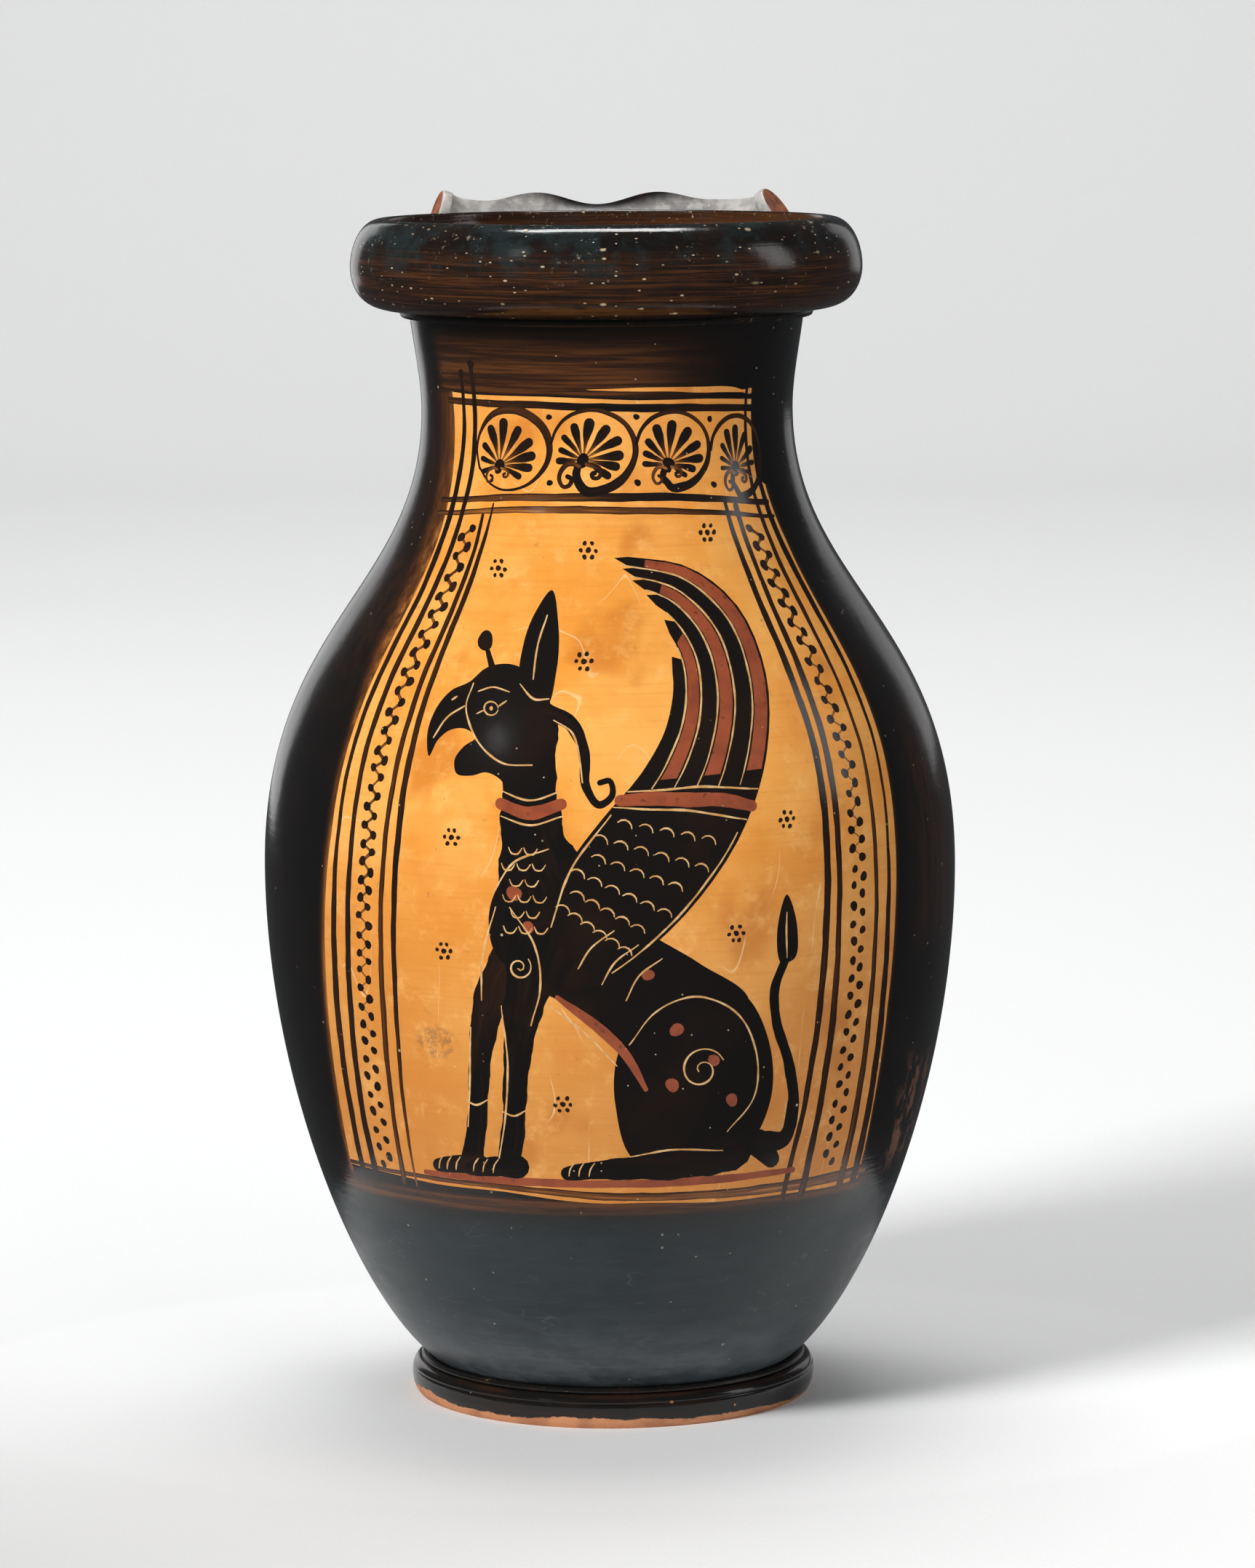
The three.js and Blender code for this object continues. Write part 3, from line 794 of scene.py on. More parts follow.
@dataclass
class Frieze:
    """Four ringed palmettes on the neck with dots between them."""

    skin: Skin
    brush: Brush
    dot_rises: Pair = (7.0, -6.8)
    palmettes: tuple[Palmette, ...] = (
        Palmette(-30.1, 210.4, 9, 8.45, (-2.6, -3.35), (0.5, 0.45, 0.8, 1.5, 2, 1.7, 0.7, 0.5),
                 ((-4.2, -1.5), (-4.7, 1.2), (-4.3, 4), (-2.7, 7.6), (0.7, 9), (4.3, 7.5), (7, 5),
                  (7.8, 2.2), (7.3, -0.35), (5.1, -2.2)), curl=0),
        Palmette(-4.3, 210.55, 9.1, 8.5, (-2, -1.9), (1.6, 2.1, 1.9, 1.3, 1.1, 0.9, 0.8, 0.6),
                 ((-5.3, -0.35), (-4.8, 1.9), (-4, 4.6), (-1.9, 6.9), (1.4, 7.8), (5, 6.4), (7.4, 3.9),
                  (7.8, 0.8), (7.1, -1.5), (5.4, -3.5))),
        Palmette(20.4, 210.5, 8.3, 7.95, (-1.3, -2.9), (1.4, 1.9, 1.5, 1, 0.8, 0.9, 1, 0.7),
                 (*OPEN_FAN, (3.6, -2.6)), curl=0.72),
        Palmette(42.8, 208.6, 7.2, 8.4, (-0.9, -2.6), (1.2, 1.6, 1.3, 1, 0.9, 1.1, 1, 0.7),
                 OPEN_FAN, narrow=0.72, curl=0.8),
    )
    outer_curl: tuple[Pair, ...] = (
        (-0.9, -1.5), (-2, -1), (-3.2, -1), (-4.5, -2.15), (-5.1, -4.2), (-4.1, -5.8), (-2.7, -5.3),
        (-2.5, -4), (-3.3, -3.6))
    inner_curl: tuple[Pair, ...] = (
        (0.9, -1), (2.2, -1.3), (3.5, -1.9), (3.9, -2.8), (3.2, -3.9), (2.1, -3.8), (1.9, -3), (2.5, -2.8))

    def draw(self) -> None:
        """Draws the whole frieze."""
        hand = self.brush.hand
        for palmette in self.palmettes:
            self._palmette(palmette)
        for left, right in zip(self.palmettes, self.palmettes[1:], strict=False):
            middle = (left.angle + left.wide * 1.41 + right.angle - right.wide * 1.41) / 2
            for rise in self.dot_rises:
                board = Board(self.skin, middle, (left.level + right.level) / 2 + rise)
                self.brush.dot(board, (hand.uniform(-0.3, 0.3), 0), hand.uniform(0.6, 0.75))

    def _palmette(self, p: Palmette) -> None:
        """Draws one palmette: petals, ring, heart and curls.

        Args:
            p: Its place and form.
        """
        board = Board(self.skin, p.angle, p.level)
        b = self.brush
        heart = np.array(p.heart)
        for tip in p.tips:
            way = np.array([tip[0] * p.narrow, tip[1]]) * 1.11
            reach = float(np.linalg.norm(way))
            head = min(max(reach * 0.24, 1.15), 2.15) * b.hand.uniform(0.9, 1.08) * (0.5 + p.narrow / 2)
            end = heart + way * (1 - head / 2 / reach)
            bend = np.array([-way[1], way[0]]) * 0.02 * b.hand.uniform(-1, 1)
            b.stroke(board, [heart + way * 0.12, heart + way * 0.5 + bend, end],
                     (0.35, 0.55, 0.95, head * 0.72, head * 0.97, head),
                     loads=(0.2, 0.45, 0.75, 0.95, 1, 0.95), step=0.5)
        whole = p.curl == 0
        start, sweep = (-150, 360) if whole else (-98, 268)
        ring = [] if whole else [heart + (-1, -1.2), heart + (-1.45, -3), (heart[0] - 0.7, -p.high * 0.84)]
        for turn in np.radians(np.linspace(start, start + sweep, 15)):
            ring.append((p.wide * math.cos(turn), p.high * math.sin(turn)))
        loads = (1, 1, 0.95, 0.85, 0.7, 0.75, 0.85, 0.95)
        b.stroke(board, ring, p.boldness, loads=loads, step=0.8, shake=0.1)
        b.dot(board, heart, 1.3)
        b.dot(board, heart + (-0.2, -1.1), 0.85)
        size = p.curl or 0.62
        thick = 1.05 * size
        for curl in (self.outer_curl, self.inner_curl):
            if whole and curl is self.outer_curl:
                b.dot(board, heart + (-1.7, -3.3), 0.5)
            points = [heart + (x * size * (0.5 + p.narrow / 2), z * size) for x, z in curl]
            b.stroke(board, points, (thick, thick, thick * 0.85, thick * 0.95),
                     loads=(0.5, 0.8, 0.8, 1) if size > 0.9 else (0.3, 0.6, 0.6, 0.9), step=0.4, shake=0.04)


@dataclass
class Griffin:
    """The panel's picture: a seated griffin with a raised sickle wing, a plain stock motif."""

    skin: Skin
    brush: Brush
    feathers: Floats = (0.8, 0.87, 0.93, 0.965, 0.985, 1)
    wing_front: tuple[Pair, ...] = (
        (-13, 113), (-9, 126), (-1, 137), (7, 146), (12.5, 156), (13.5, 166), (9.5, 174), (3, 178))
    wing_rear: tuple[Pair, ...] = (
        (-2, 102), (9, 110), (20, 121), (29, 134), (34.5, 149), (35, 164), (29.5, 177), (18, 186), (2, 189))
    wing_steps: int = 200

    def __post_init__(self) -> None:
        """Lays the wing out and ties the brush's tools to one sheet."""
        brush = self.brush
        self.hand = brush.hand
        tools = (brush.stroke, brush.fill, brush.scratch, brush.dot)
        self.line, self.patch, self.cut, self.dot = (partial(tool, Board(self.skin)) for tool in tools)
        edges = (self.wing_front, self.wing_rear)
        self.front, self.rear = (self._spread(flowing(edge, 1)) for edge in edges)

    def _spread(self, line: Array) -> Array:
        """Points at even shares of a line's length.

        Args:
            line: The line's points.

        Returns:
            The points.
        """
        run = run_along(line)
        share = np.linspace(0, run[-1], self.wing_steps + 1)
        return np.stack([np.interp(share, run, line[:, i]) for i in (0, 1)], 1)

    def _vane(self, across: float, start: float, end: float, count: int = 14) -> Array:
        """Points along the wing.

        Args:
            across: The share of its width, from the front.
            start: The share of its length where they begin.
            end: The share where they end.
            count: How many.

        Returns:
            The points.
        """
        line = self.front * (1 - across) + self.rear * across
        steps = self.wing_steps
        return line[np.linspace(start * steps, end * steps, count).astype(int)]

    def draw(self) -> None:
        """Draws ground line, animal, red and scratched lines, then the field's rosettes."""
        self._animal()
        self._wing()
        self._trim()
        self._field()

    def _animal(self) -> None:
        """The animal, painted in slip."""
        far = (0.85, 0.92, 1, 1)
        self.line([(-42, 58.6), (-15, 58.3), (10, 58.2), (41, 58.7)], (1.2, 1.9, 1.7, 1.9, 1.3), Paint.RED)
        self.line([(-17, 110), (-25, 99), (-28, 84), (-29, 70), (-30.4, 62)], (13, 8, 5.2, 4.4, 5), loads=far)
        self.line([(-28.5, 61.4), (-34, 61.2), (-38.5, 60.6)], (4.8, 4.2, 3), loads=far)
        self.patch([(1, 76), (1.6, 87), (7, 97), (18, 103), (28.6, 99), (34.6, 88), (35, 75), (29, 64.5),
                       (17, 61), (5, 63.5)])
        self.line([(25, 66), (14, 62.4), (4, 61.7), (-4, 61.2), (-9, 60.6)], (13, 8, 5.6, 4.6, 3.2))
        self.line([(32, 66), (35.5, 61.8)], (6, 4))
        self.patch([(30, 97), (19, 106), (8, 113), (-2, 121), (-9.5, 128), (-19, 127), (-25, 119),
                    (-24.6, 109), (-16, 101.5), (-6, 96), (3, 89), (9, 80), (22, 80)])
        self.line([(-8, 113), (-14.5, 126), (-16.5, 138), (-16.6, 147), (-16, 155)], (27, 20, 13.5, 11.4, 11))
        self.line([(-13, 112), (-18, 98), (-20, 82), (-21, 68), (-22, 61.8)], (17, 9.4, 6, 5, 5.4))
        self.line([(-20, 61.6), (-25, 61.4), (-30.5, 60.6)], (5.2, 4.6, 3.2))
        head = [(-11, 150), (-11.5, 158), (-15, 164.5), (-20.5, 167.2), (-26.5, 166.2), (-30, 163.5),
                (-34.5, 161.5), (-38.3, 157.5), (-40.2, 152.2), (-39.6, 148.2), (-37.4, 151.6),
                (-34.2, 153.8), (-30.6, 154), (-28.4, 152.6), (-31.2, 150.6), (-33.4, 147.6), (-33, 145.2),
                (-29.4, 144.8), (-26, 145.6), (-22.6, 144), (-21, 141), (-14, 143)]
        self.patch(head, step=0.6)
        ear = [(-18.5, 164), (-18, 171), (-15.4, 177.5), (-11.8, 182), (-10.4, 175.5), (-10.8, 166),
               (-13, 159)]
        self.patch(ear)
        self.line([(-24.6, 165.6), (-26, 169.6)], (1.6, 1.1))
        self.dot((-26.6, 171.6), 1.9)
        tress = [(-13, 158), (-8, 156), (-5, 150), (-4.6, 143), (-1.8, 139.5), (0.8, 141.5), (0.2, 144.4),
                 (-1.8, 144)]
        self.line(tress, (3.6, 3, 2.4, 2, 1.7, 1.3, 1.2), step=0.5)
        self.line([(33, 66), (38.2, 66), (40.6, 73), (39.4, 83), (36.4, 92), (36, 100), (38.6, 106)],
                 (5, 3.4, 2.8, 2.5, 2.3, 2.2, 2))
        self.patch([(37.2, 105), (36.4, 111.4), (38.8, 119.4), (41.4, 111.8), (40.4, 105.4)])

    def _wing(self) -> None:
        """The raised wing: scaled coverts, a red band and feathers that are red by turns."""
        covert = np.vstack([self._vane(0, 0, 0.5), self._vane(1, 0, 0.5)[::-1]])
        self.patch(covert, smooth=False)
        count = len(self.feathers)
        for k, end in enumerate(self.feathers):
            near, far = k / count, (k + 1) / count
            tip = self._vane((near + far) / 2, end, end, 1) + (-0.7, 0.35)
            inner, outer = (self._vane(share, 0.38, end - 0.02, 20) for share in (near, far))
            self.patch(np.vstack([inner, tip, outer[::-1]]), smooth=False)
            if k % 2:
                inner, outer = (self._vane(share, 0.475, end - 0.05) for share in (near + 0.022, far - 0.022))
                self.patch(np.vstack([inner, outer[::-1]]), Paint.RED, smooth=False)
        for k, end in enumerate(self.feathers[:-1]):
            self.cut(self._vane((k + 1) / count, 0.45, end + 0.012, 20), 0.42)
        for at, paint in ((0.385, None), (0.412, Paint.RED), (0.44, None)):
            bow = [(a, at + 0.012 * math.sin(a * math.pi)) for a in (0.01, 0.25, 0.5, 0.75, 0.99)]
            band = [self._vane(across, run, at, 1)[0] for across, run in bow]
            if paint:
                self.line(band, (2.4, 2.9, 2.9, 2.4), paint)
            else:
                self.cut(band, 0.48)
        for row in range(6):
            for k in range(6 - row % 2):
                across = 0.1 + 0.155 * k + (0.078 if row % 2 else 0)
                spot = self._vane(across, 0.07 + 0.052 * row, 0.07, 1)[0]
                arc = [spot + (1.75 * math.cos(t), 1.75 * math.sin(t)) for t in np.linspace(-0.1, 2.3, 5)]
                self.cut(arc, 0.36)
        self.cut(self._vane(0.035, 0.02, 0.36), 0.45)
        self.cut(self._vane(0.965, 0.03, 0.36), 0.45)

    def _trim(self) -> None:
        """Added red and the lines cut through the slip."""
        self.line([(-22.8, 139.4), (-16.6, 137.6), (-9.8, 139.6)], (2.4, 2.7, 2.4), Paint.RED)
        self.line([(-11, 99.2), (-3, 93.2), (3.6, 86.4), (7.4, 79.2)], (1, 2.3, 2.1, 1), Paint.RED)
        for place in ((-20, 121), (-17, 114), (14, 92), (22, 85), (26, 76), (13, 80), (8, 104)):
            self.dot(place, self.hand.uniform(1.25, 1.6), Paint.RED)
        cuts = (
            ((-22.8, 136.9), (-16.6, 135.2), (-9.6, 137.1)), ((-22.6, 142), (-16.6, 140.2), (-10, 142.2)),
            ((-24.6, 121), (-20, 127.4), (-12.6, 130.4)),
            ((-21, 118), (-15.6, 110), (-14.6, 101), (-16.6, 93)),
            ((4, 89), (9.6, 96), (18, 99), (27, 95), (31.6, 86), (31, 76), (25, 69)),
            ((-13, 97.6), (-5, 91.4), (1.4, 84.4)), ((24, 64.8), (13, 65.6), (4, 64.3)),
            ((-23, 97), (-21.8, 84), (-23, 69), (-24, 63.4)), ((-30, 92), (-30.4, 80), (-31, 70)),
            ((-29.2, 163.2), (-30.8, 158.6), (-29.6, 154.4), (-26.4, 150), (-22.4, 147.6), (-16, 147.4)),
            ((-31.2, 158.6), (-35, 156.4), (-38.6, 152)), ((-33, 160.4), (-34.2, 159.7)),
            ((-15.8, 164.4), (-14.8, 171), (-12.8, 177)), ((-18.6, 163.4), (-15.4, 160.4), (-12.4, 160.6)),
            ((-11.4, 156.4), (-7.6, 154), (-6, 149), (-5.4, 144)),
            ((38.8, 106), (38.7, 110.6), (38.8, 115.6)),
            ((35.8, 68.2), (38, 70.2), (38.8, 74.6)), ((-24, 118), (-27, 108), (-27.4, 98)),
        )
        for cut in cuts:
            self.cut(cut, 0.42)
        for turn in (0, 1, 2):
            self.cut([(11 - 5 * turn, 107.4 + 3 * turn), (6 - 5 * turn, 103.6 + 3 * turn),
                      (3.4 - 5 * turn, 98.6 + 3.4 * turn)], 0.38)
        self._scroll((19.4, 83), 6.4, 0.4, 1)
        self._scroll((-19, 105.4), 3.4, 2.4, -1)
        for row in range(6):
            for k in range(3 - row % 2):
                x, z = -20.8 + 3.3 * k + (1.65 if row % 2 else 0) - 0.1 * row, 113.5 + 3.3 * row
                scale = [(x - 1.5, z + 0.6), (x - 0.9, z - 0.7), (x + 0.5, z - 0.8), (x + 1.4, z + 0.4)]
                self.cut(scale, 0.34)
        for x in (-24.2, -26.6, -28.8, -33, -35.2, -37.2, -3.4, -5.6, -7.6):
            self.cut([(x, 63), (x - 1, 61.4), (x - 1.2, 59.9)], 0.34)
        for x, z in ((-20.6, 74), (-29, 76)):
            self.cut([(x - 2.6, z), (x, z - 1), (x + 2.6, z + 0.3)], 0.4)
        eye = (-25, 158.4)
        ring = [(eye[0] + 1.6 * math.cos(t), eye[1] + 1.35 * math.sin(t)) for t in np.linspace(0, 6.1, 11)]
        self.cut(ring, 0.34)
        self.dot(eye, 0.42, Paint.SCRATCH)
        self.cut([(-28.4, 157.2), (-26.6, 158)], 0.32)
        self.cut([(-23.4, 158.8), (-21.6, 160)], 0.32)
        self.cut([(-28, 161.6), (-24.6, 162.6), (-21, 161.8)], 0.36)

    def _scroll(self, centre: Pair, size: float, turn: float, side: int) -> None:
        """Scratches a spiral.

        Args:
            centre: Its middle.
            size: Its size.
            turn: Where it begins, in radians.
            side: Which way it winds, 1 or -1.
        """
        points = []
        for t in np.linspace(0, 9.4, 26):
            reach = 0.8 * size * (1 - t / 11)
            x, z = side * reach * math.cos(t + turn), reach * math.sin(t + turn)
            points.append((centre[0] + x, centre[1] + z))
        self.cut(points, 0.42)

    def _field(self) -> None:
        """Rosettes of dots in the open clay."""
        for x, z in ((-24, 186), (-4, 190), (-34, 132), (-36, 108), (27, 112), (-10, 76), (22, 193),
                     (39, 135), (-5, 168)):
            self.dot((x, z), 0.62, load=0.9)
            for k in range(6):
                t = k * math.pi / 3 + self.hand.uniform(-0.15, 0.15)
                spot = (x + 1.6 * math.cos(t), z + 1.6 * math.sin(t))
                self.dot(spot, self.hand.uniform(0.42, 0.56), load=0.85)


# The body


class PaintedFront:
    """Cuts the marks into the body's grid, so that each paint has faces of its own."""

    def __init__(self, marks: list[Mark], angles: Array, levels: Array, scale: float) -> None:
        """Triangulates the patch.

        Args:
            marks: The marks, lowest first.
            angles: Angles of the grid's columns in the patch.
            levels: Levels of its rows.
            scale: Millimetres for each degree on the flat sheet that is cut.
        """
        self.marks = marks
        grid = np.stack(np.meshgrid(angles, levels), -1).reshape(-1, 2)
        wide, high = len(angles), len(levels)
        places, edges = [grid], []
        for r in (0, high - 1):
            edges += [(r * wide + k, r * wide + k + 1) for k in range(wide - 1)]
        for c in (0, wide - 1):
            edges += [(r * wide + c, (r + 1) * wide + c) for r in range(high - 1)]
        count = len(grid)
        for mark in marks:
            n = len(mark.loop)
            edges += [(count + i, count + (i + 1) % n) for i in range(n)]
            places.append(mark.loop)
            count += n
            if mark.path is not None and mark.paint is Paint.SLIP:
                inner = mark.board.onto(mark.path[:: 2 if len(mark.path) > 4 else 1][:-1])
                places.append(inner)
                count += len(inner)
        flat = np.vstack(places) * (scale, 1)
        found, _, faces, origins, _, _ = delaunay_2d_cdt([Vector(p) for p in flat], edges, [], 0, 1e-4, True)
        self.places = np.array([(p.x / scale, p.y) for p in found])
        self.grid_index = np.full(len(found), -1)
        for i, sources in enumerate(origins):
            own = [s for s in sources if s < len(grid)]
            if own:
                self.grid_index[i] = own[0]
        faces = np.array(faces)
        a, b, c = (self.places[faces[:, k]] * (scale, 1) for k in range(3))
        ab, ac = b - a, c - a
        area = ab[:, 0] * ac[:, 1] - ab[:, 1] * ac[:, 0]
        faces[area < 0] = faces[area < 0][:, ::-1]
        self.faces = faces[np.abs(area) > 1e-7]
        self._own()

    def _own(self) -> None:
        """Finds the uppermost mark over each face and the brush's place at each of its corners."""
        centres = self.places[self.faces].mean(1)
        self.owner = np.full(len(self.faces), -1)
        for m, mark in enumerate(self.marks):
            low, high = mark.loop.min(0), mark.loop.max(0)
            near = np.flatnonzero(((centres >= low) & (centres <= high)).all(1))
            for part in np.array_split(near, len(near) // 3000 + 1):
                if len(part):
                    self.owner[part[within(centres[part], mark.loop)]] = m
        self.brushed = np.zeros((len(self.faces), 3, 3))
        self.brushed[..., 2] = 1
        for m, mark in enumerate(self.marks):
            mine = np.flatnonzero(self.owner == m)
            if mark.path is None or not len(mine):
                continue
            spots = mark.board.off(self.places[self.faces[mine]].reshape(-1, 2))
            gap, at = nearest_on(mark.path, spots)
            index = np.arange(len(mark.path))
            half = np.interp(at, index, mark.half)
            run = run_along(mark.path)
            across = np.clip(gap / np.maximum(half, 0.05), -1, 1)
            along = np.interp(at, index, run) + mark.tone
            load = np.interp(at, index, mark.load)
            self.brushed[mine] = np.stack([across, along, load], 1).reshape(-1, 3, 3)

    @property
    def paints(self) -> list[int]:
        """The material slot of each face."""
        return [self.marks[m].paint.value if m >= 0 else Paint.GROUND.value for m in self.owner]


@dataclass
class Body:
    """The thrown body and neck. The marks are cut into a patch of its grid at the front."""

    sizes: BodySizes
    skin: Skin
    layout: PanelLayout
    marks: list[Mark]
    steps: tuple[int, int, int] = (60, 56, 14)
    inside_slot: int = 5
    patch_columns: tuple[int, int] = (76, 164)
    patch_levels: Pair = (46.0, 231.5)
    millimetres_a_degree: float = 1.31

    def _profile(self) -> tuple[Array, int]:
        """The closed outline.

        Returns:
            Its rows, and how many of them are the outer surface.
        """
        s = self.sizes
        outside = s.outline(self.steps)
        inside = offset_outline(outside, -s.wall)
        floor = s.base_level + s.floor
        keep = (inside[:, 1] > floor + s.wall / 4) & (inside[:, 1] < s.top_level - s.wall / 4)
        inside = inside[keep][::-1]
        edge = inside[-1]
        corner = bezier(edge, (edge[0] - 1.6, floor + 0.3), (edge[0] - 3, floor), (edge[0] - 6.5, floor), 6)
        base = [(0, s.base_level), (20, s.base_level)]
        top = [(s.top_radius - s.wall, s.top_level)]
        return np.vstack([base, outside, top, inside, corner[1:], [(12, floor), (0, floor)]]), len(outside)

    def form(self) -> tuple[Form, Array]:
        """The body's mesh.

        Returns:
            The form, and the brush's place at each corner.
        """
        profile, outer = self._profile()
        first_outer = 2
        columns = TURNED_COLUMNS
        turned = revolve(profile, columns, closed=False)
        levels = profile[first_outer:first_outer + outer, 1]
        rows = np.flatnonzero((levels >= self.patch_levels[0]) & (levels <= self.patch_levels[1]))
        low_row, high_row = rows[0] + first_outer, rows[-1] + first_outer
        left, right = self.patch_columns
        angles = np.arange(left, right + 1) * 360 / columns - 180
        front = PaintedFront(self.marks, angles, levels[rows], self.millimetres_a_degree)
        grid = [1 + (row - 1) * columns + k
                for row in range(low_row, high_row + 1) for k in range(left, right + 1)]
        count = len(turned.points)
        extra = np.flatnonzero(front.grid_index < 0)
        index = np.empty(len(front.places), int)
        index[extra] = count + np.arange(len(extra))
        own = front.grid_index >= 0
        index[own] = np.array(grid)[front.grid_index[own]]
        points = np.vstack([turned.points, self.skin.place(front.places[extra, 0], front.places[extra, 1])])
        faces, maps, slots, brushed = [], [], [], []
        corner = 0
        for n, face in enumerate(turned.faces):
            row, column = divmod(n, columns)
            size = len(face)
            if not (low_row <= row < high_row and left <= column < right):
                faces.append(face)
                maps.extend(turned.maps[corner:corner + size])
                inside = row < first_outer or row >= first_outer + outer - 1
                slots.append(self.inside_slot if inside else Paint.GROUND.value)
                brushed.extend([(0, 0, 1)] * size)
            corner += size
        run = run_along(profile)
        run /= run[-1]
        outside = slice(first_outer, first_outer + outer)
        rise = np.interp(front.places[:, 1], profile[outside, 1], run[outside])
        across = (front.places[:, 0] + 180) / 360
        for face in front.faces:
            faces.append(tuple(int(i) for i in index[face]))
            maps.extend((across[i], rise[i]) for i in face)
        slots.extend(front.paints)
        brushed = np.vstack([np.array(brushed), front.brushed.reshape(-1, 3)])
        spread = np.array(maps)
        u = spread[:, 0] * 360 - 180
        spread[:, 0] = np.interp(u, (-180, -68, 68, 180), (0, 0.16, 0.84, 1))
        v_in, v_out = run[first_outer], run[first_outer + outer - 1]
        spread[:, 1] = np.interp(spread[:, 1], (0, v_in, v_out, 1), (0, 0.02, 0.84, 1))
        return Form(points, faces, spread, slots), brushed

    def make(self, finishes: Sequence[Material]) -> bpy.types.Object:
        """Builds the body, with exact directions for its light and the layers that its finishes read.

        Args:
            finishes: Its materials, in the order of Paint and then the inside's.

        Returns:
            The body.
        """
        form, brushed = self.form()
        piece = as_piece("painted_body", form, finishes, "body", crease=None)
        mesh = piece.data
        layer = mesh.attributes.new("brush", "FLOAT_VECTOR", "CORNER")
        layer.data.foreach_set("vector", brushed.astype(np.float32).ravel())
        x, y, level = form.points.T
        angle = np.degrees(np.arctan2(x, -y))
        radius = np.hypot(x, y)
        lay = self.layout
        left = np.radians(lay.left_edge.at(level) - angle) * radius
        right = np.radians(angle - lay.right_limit(level)) * radius
        top = level - lay.strip_top.at(angle)
        margin = mesh.attributes.new("margin", "FLOAT_VECTOR", "POINT")
        margin.data.foreach_set("vector", np.stack([left, right, top], 1).astype(np.float32).ravel())
        outer = np.abs(radius - self.skin.radius(level)) < 0.05
        inner = ~outer & (level > self.sizes.base_level + self.sizes.floor + 2)
        facing = self.skin.facing(angle, level)
        facing[inner] *= -1
        flat = ~outer & ~inner
        facing[flat] = (0, 0, 1)
        facing[flat & (level < self.sizes.base_level + 0.01)] = (0, 0, -1)
        mesh.normals_split_custom_set_from_vertices(facing.tolist())
        return piece


# Foot, mouth and fillets


@dataclass(frozen=True)
class FootSizes:
    """The turned ring foot and the fillet over it."""

    height: float = 7.2
    top_radius: float = 42.2
    bulge: float = 2.2
    torus_level: float = 4.2
    rest_inset: float = 1.2
    rest_width: float = 12.0
    recess_draft: float = 3.0
    fillet_height: float = 1.2
    fillet_width: float = 3.0
    groove_level: float = 5.55
    groove_depth: float = 0.22
    groove_width: float = 0.16


@dataclass
class Foot:
    """The ring foot, with a line turned into its edge, and the fillet above it."""

    sizes: FootSizes
    skin: Skin

    def ring(self) -> Form:
        """Turns the foot.

        Returns:
            Its mesh.
        """
        s = self.sizes
        torus = s.top_radius + s.bulge
        rest = torus - s.rest_inset
        recess = rest - s.rest_width
        lower = bezier((rest, 0), (torus - s.rest_inset / 4, s.torus_level / 4), (torus, s.torus_level * 0.6),
                       (torus, s.torus_level), 16)
        upper = bezier((torus, s.torus_level), (torus, (s.torus_level + s.height) / 2),
                       (torus - s.bulge / 3, s.height), (s.top_radius, s.height), 24)
        side = joined(lower, upper)
        dip = s.groove_depth * np.exp(-(((side[:, 1] - s.groove_level) / s.groove_width) ** 2))
        side = side - np.stack([dip, dip * 0.2], 1)
        inner = [(recess - s.recess_draft, s.height), (recess - s.recess_draft / 2, s.height / 2),
                 (recess, 0.35), (recess + 0.35, 0)]
        return revolve(np.vstack([side, inner]))

    def fillet(self) -> Form:
        """Turns the fillet over the foot.

        Returns:
            Its mesh.
        """
        s = self.sizes
        level = s.height
        seat = self.skin.sizes.base_radius - 0.4
        edge = self.skin.sizes.base_radius + 0.3 + s.fillet_width
        top = s.fillet_height
        bead = [(edge + x * top, z * top)
                for x, z in ((0.06, 0), (0.27, 0.28), (0.3, 0.55), (0.12, 0.86), (-0.22, 1))]
        lean = float(self.skin.radius(level + top)) - 0.5
        rim = flowing(bead, 0.16)
        return revolve(np.vstack([[(seat, 0)], rim, [(min(lean, edge - 0.6), top)]]) + (0, level))


@dataclass(frozen=True)
class MouthSizes:
    """The heavy torus mouth and the fillet under it."""

    height: float = 19.5
    overhang: float = 12.6
    girth_level: float = 9.1
    crest_setback: float = 7.1
    underside: float = 3.4
    inner_edge: float = 0.9
    sag: float = 0.9
    fillet_height: float = 1.7
    fillet_width: float = 1.4


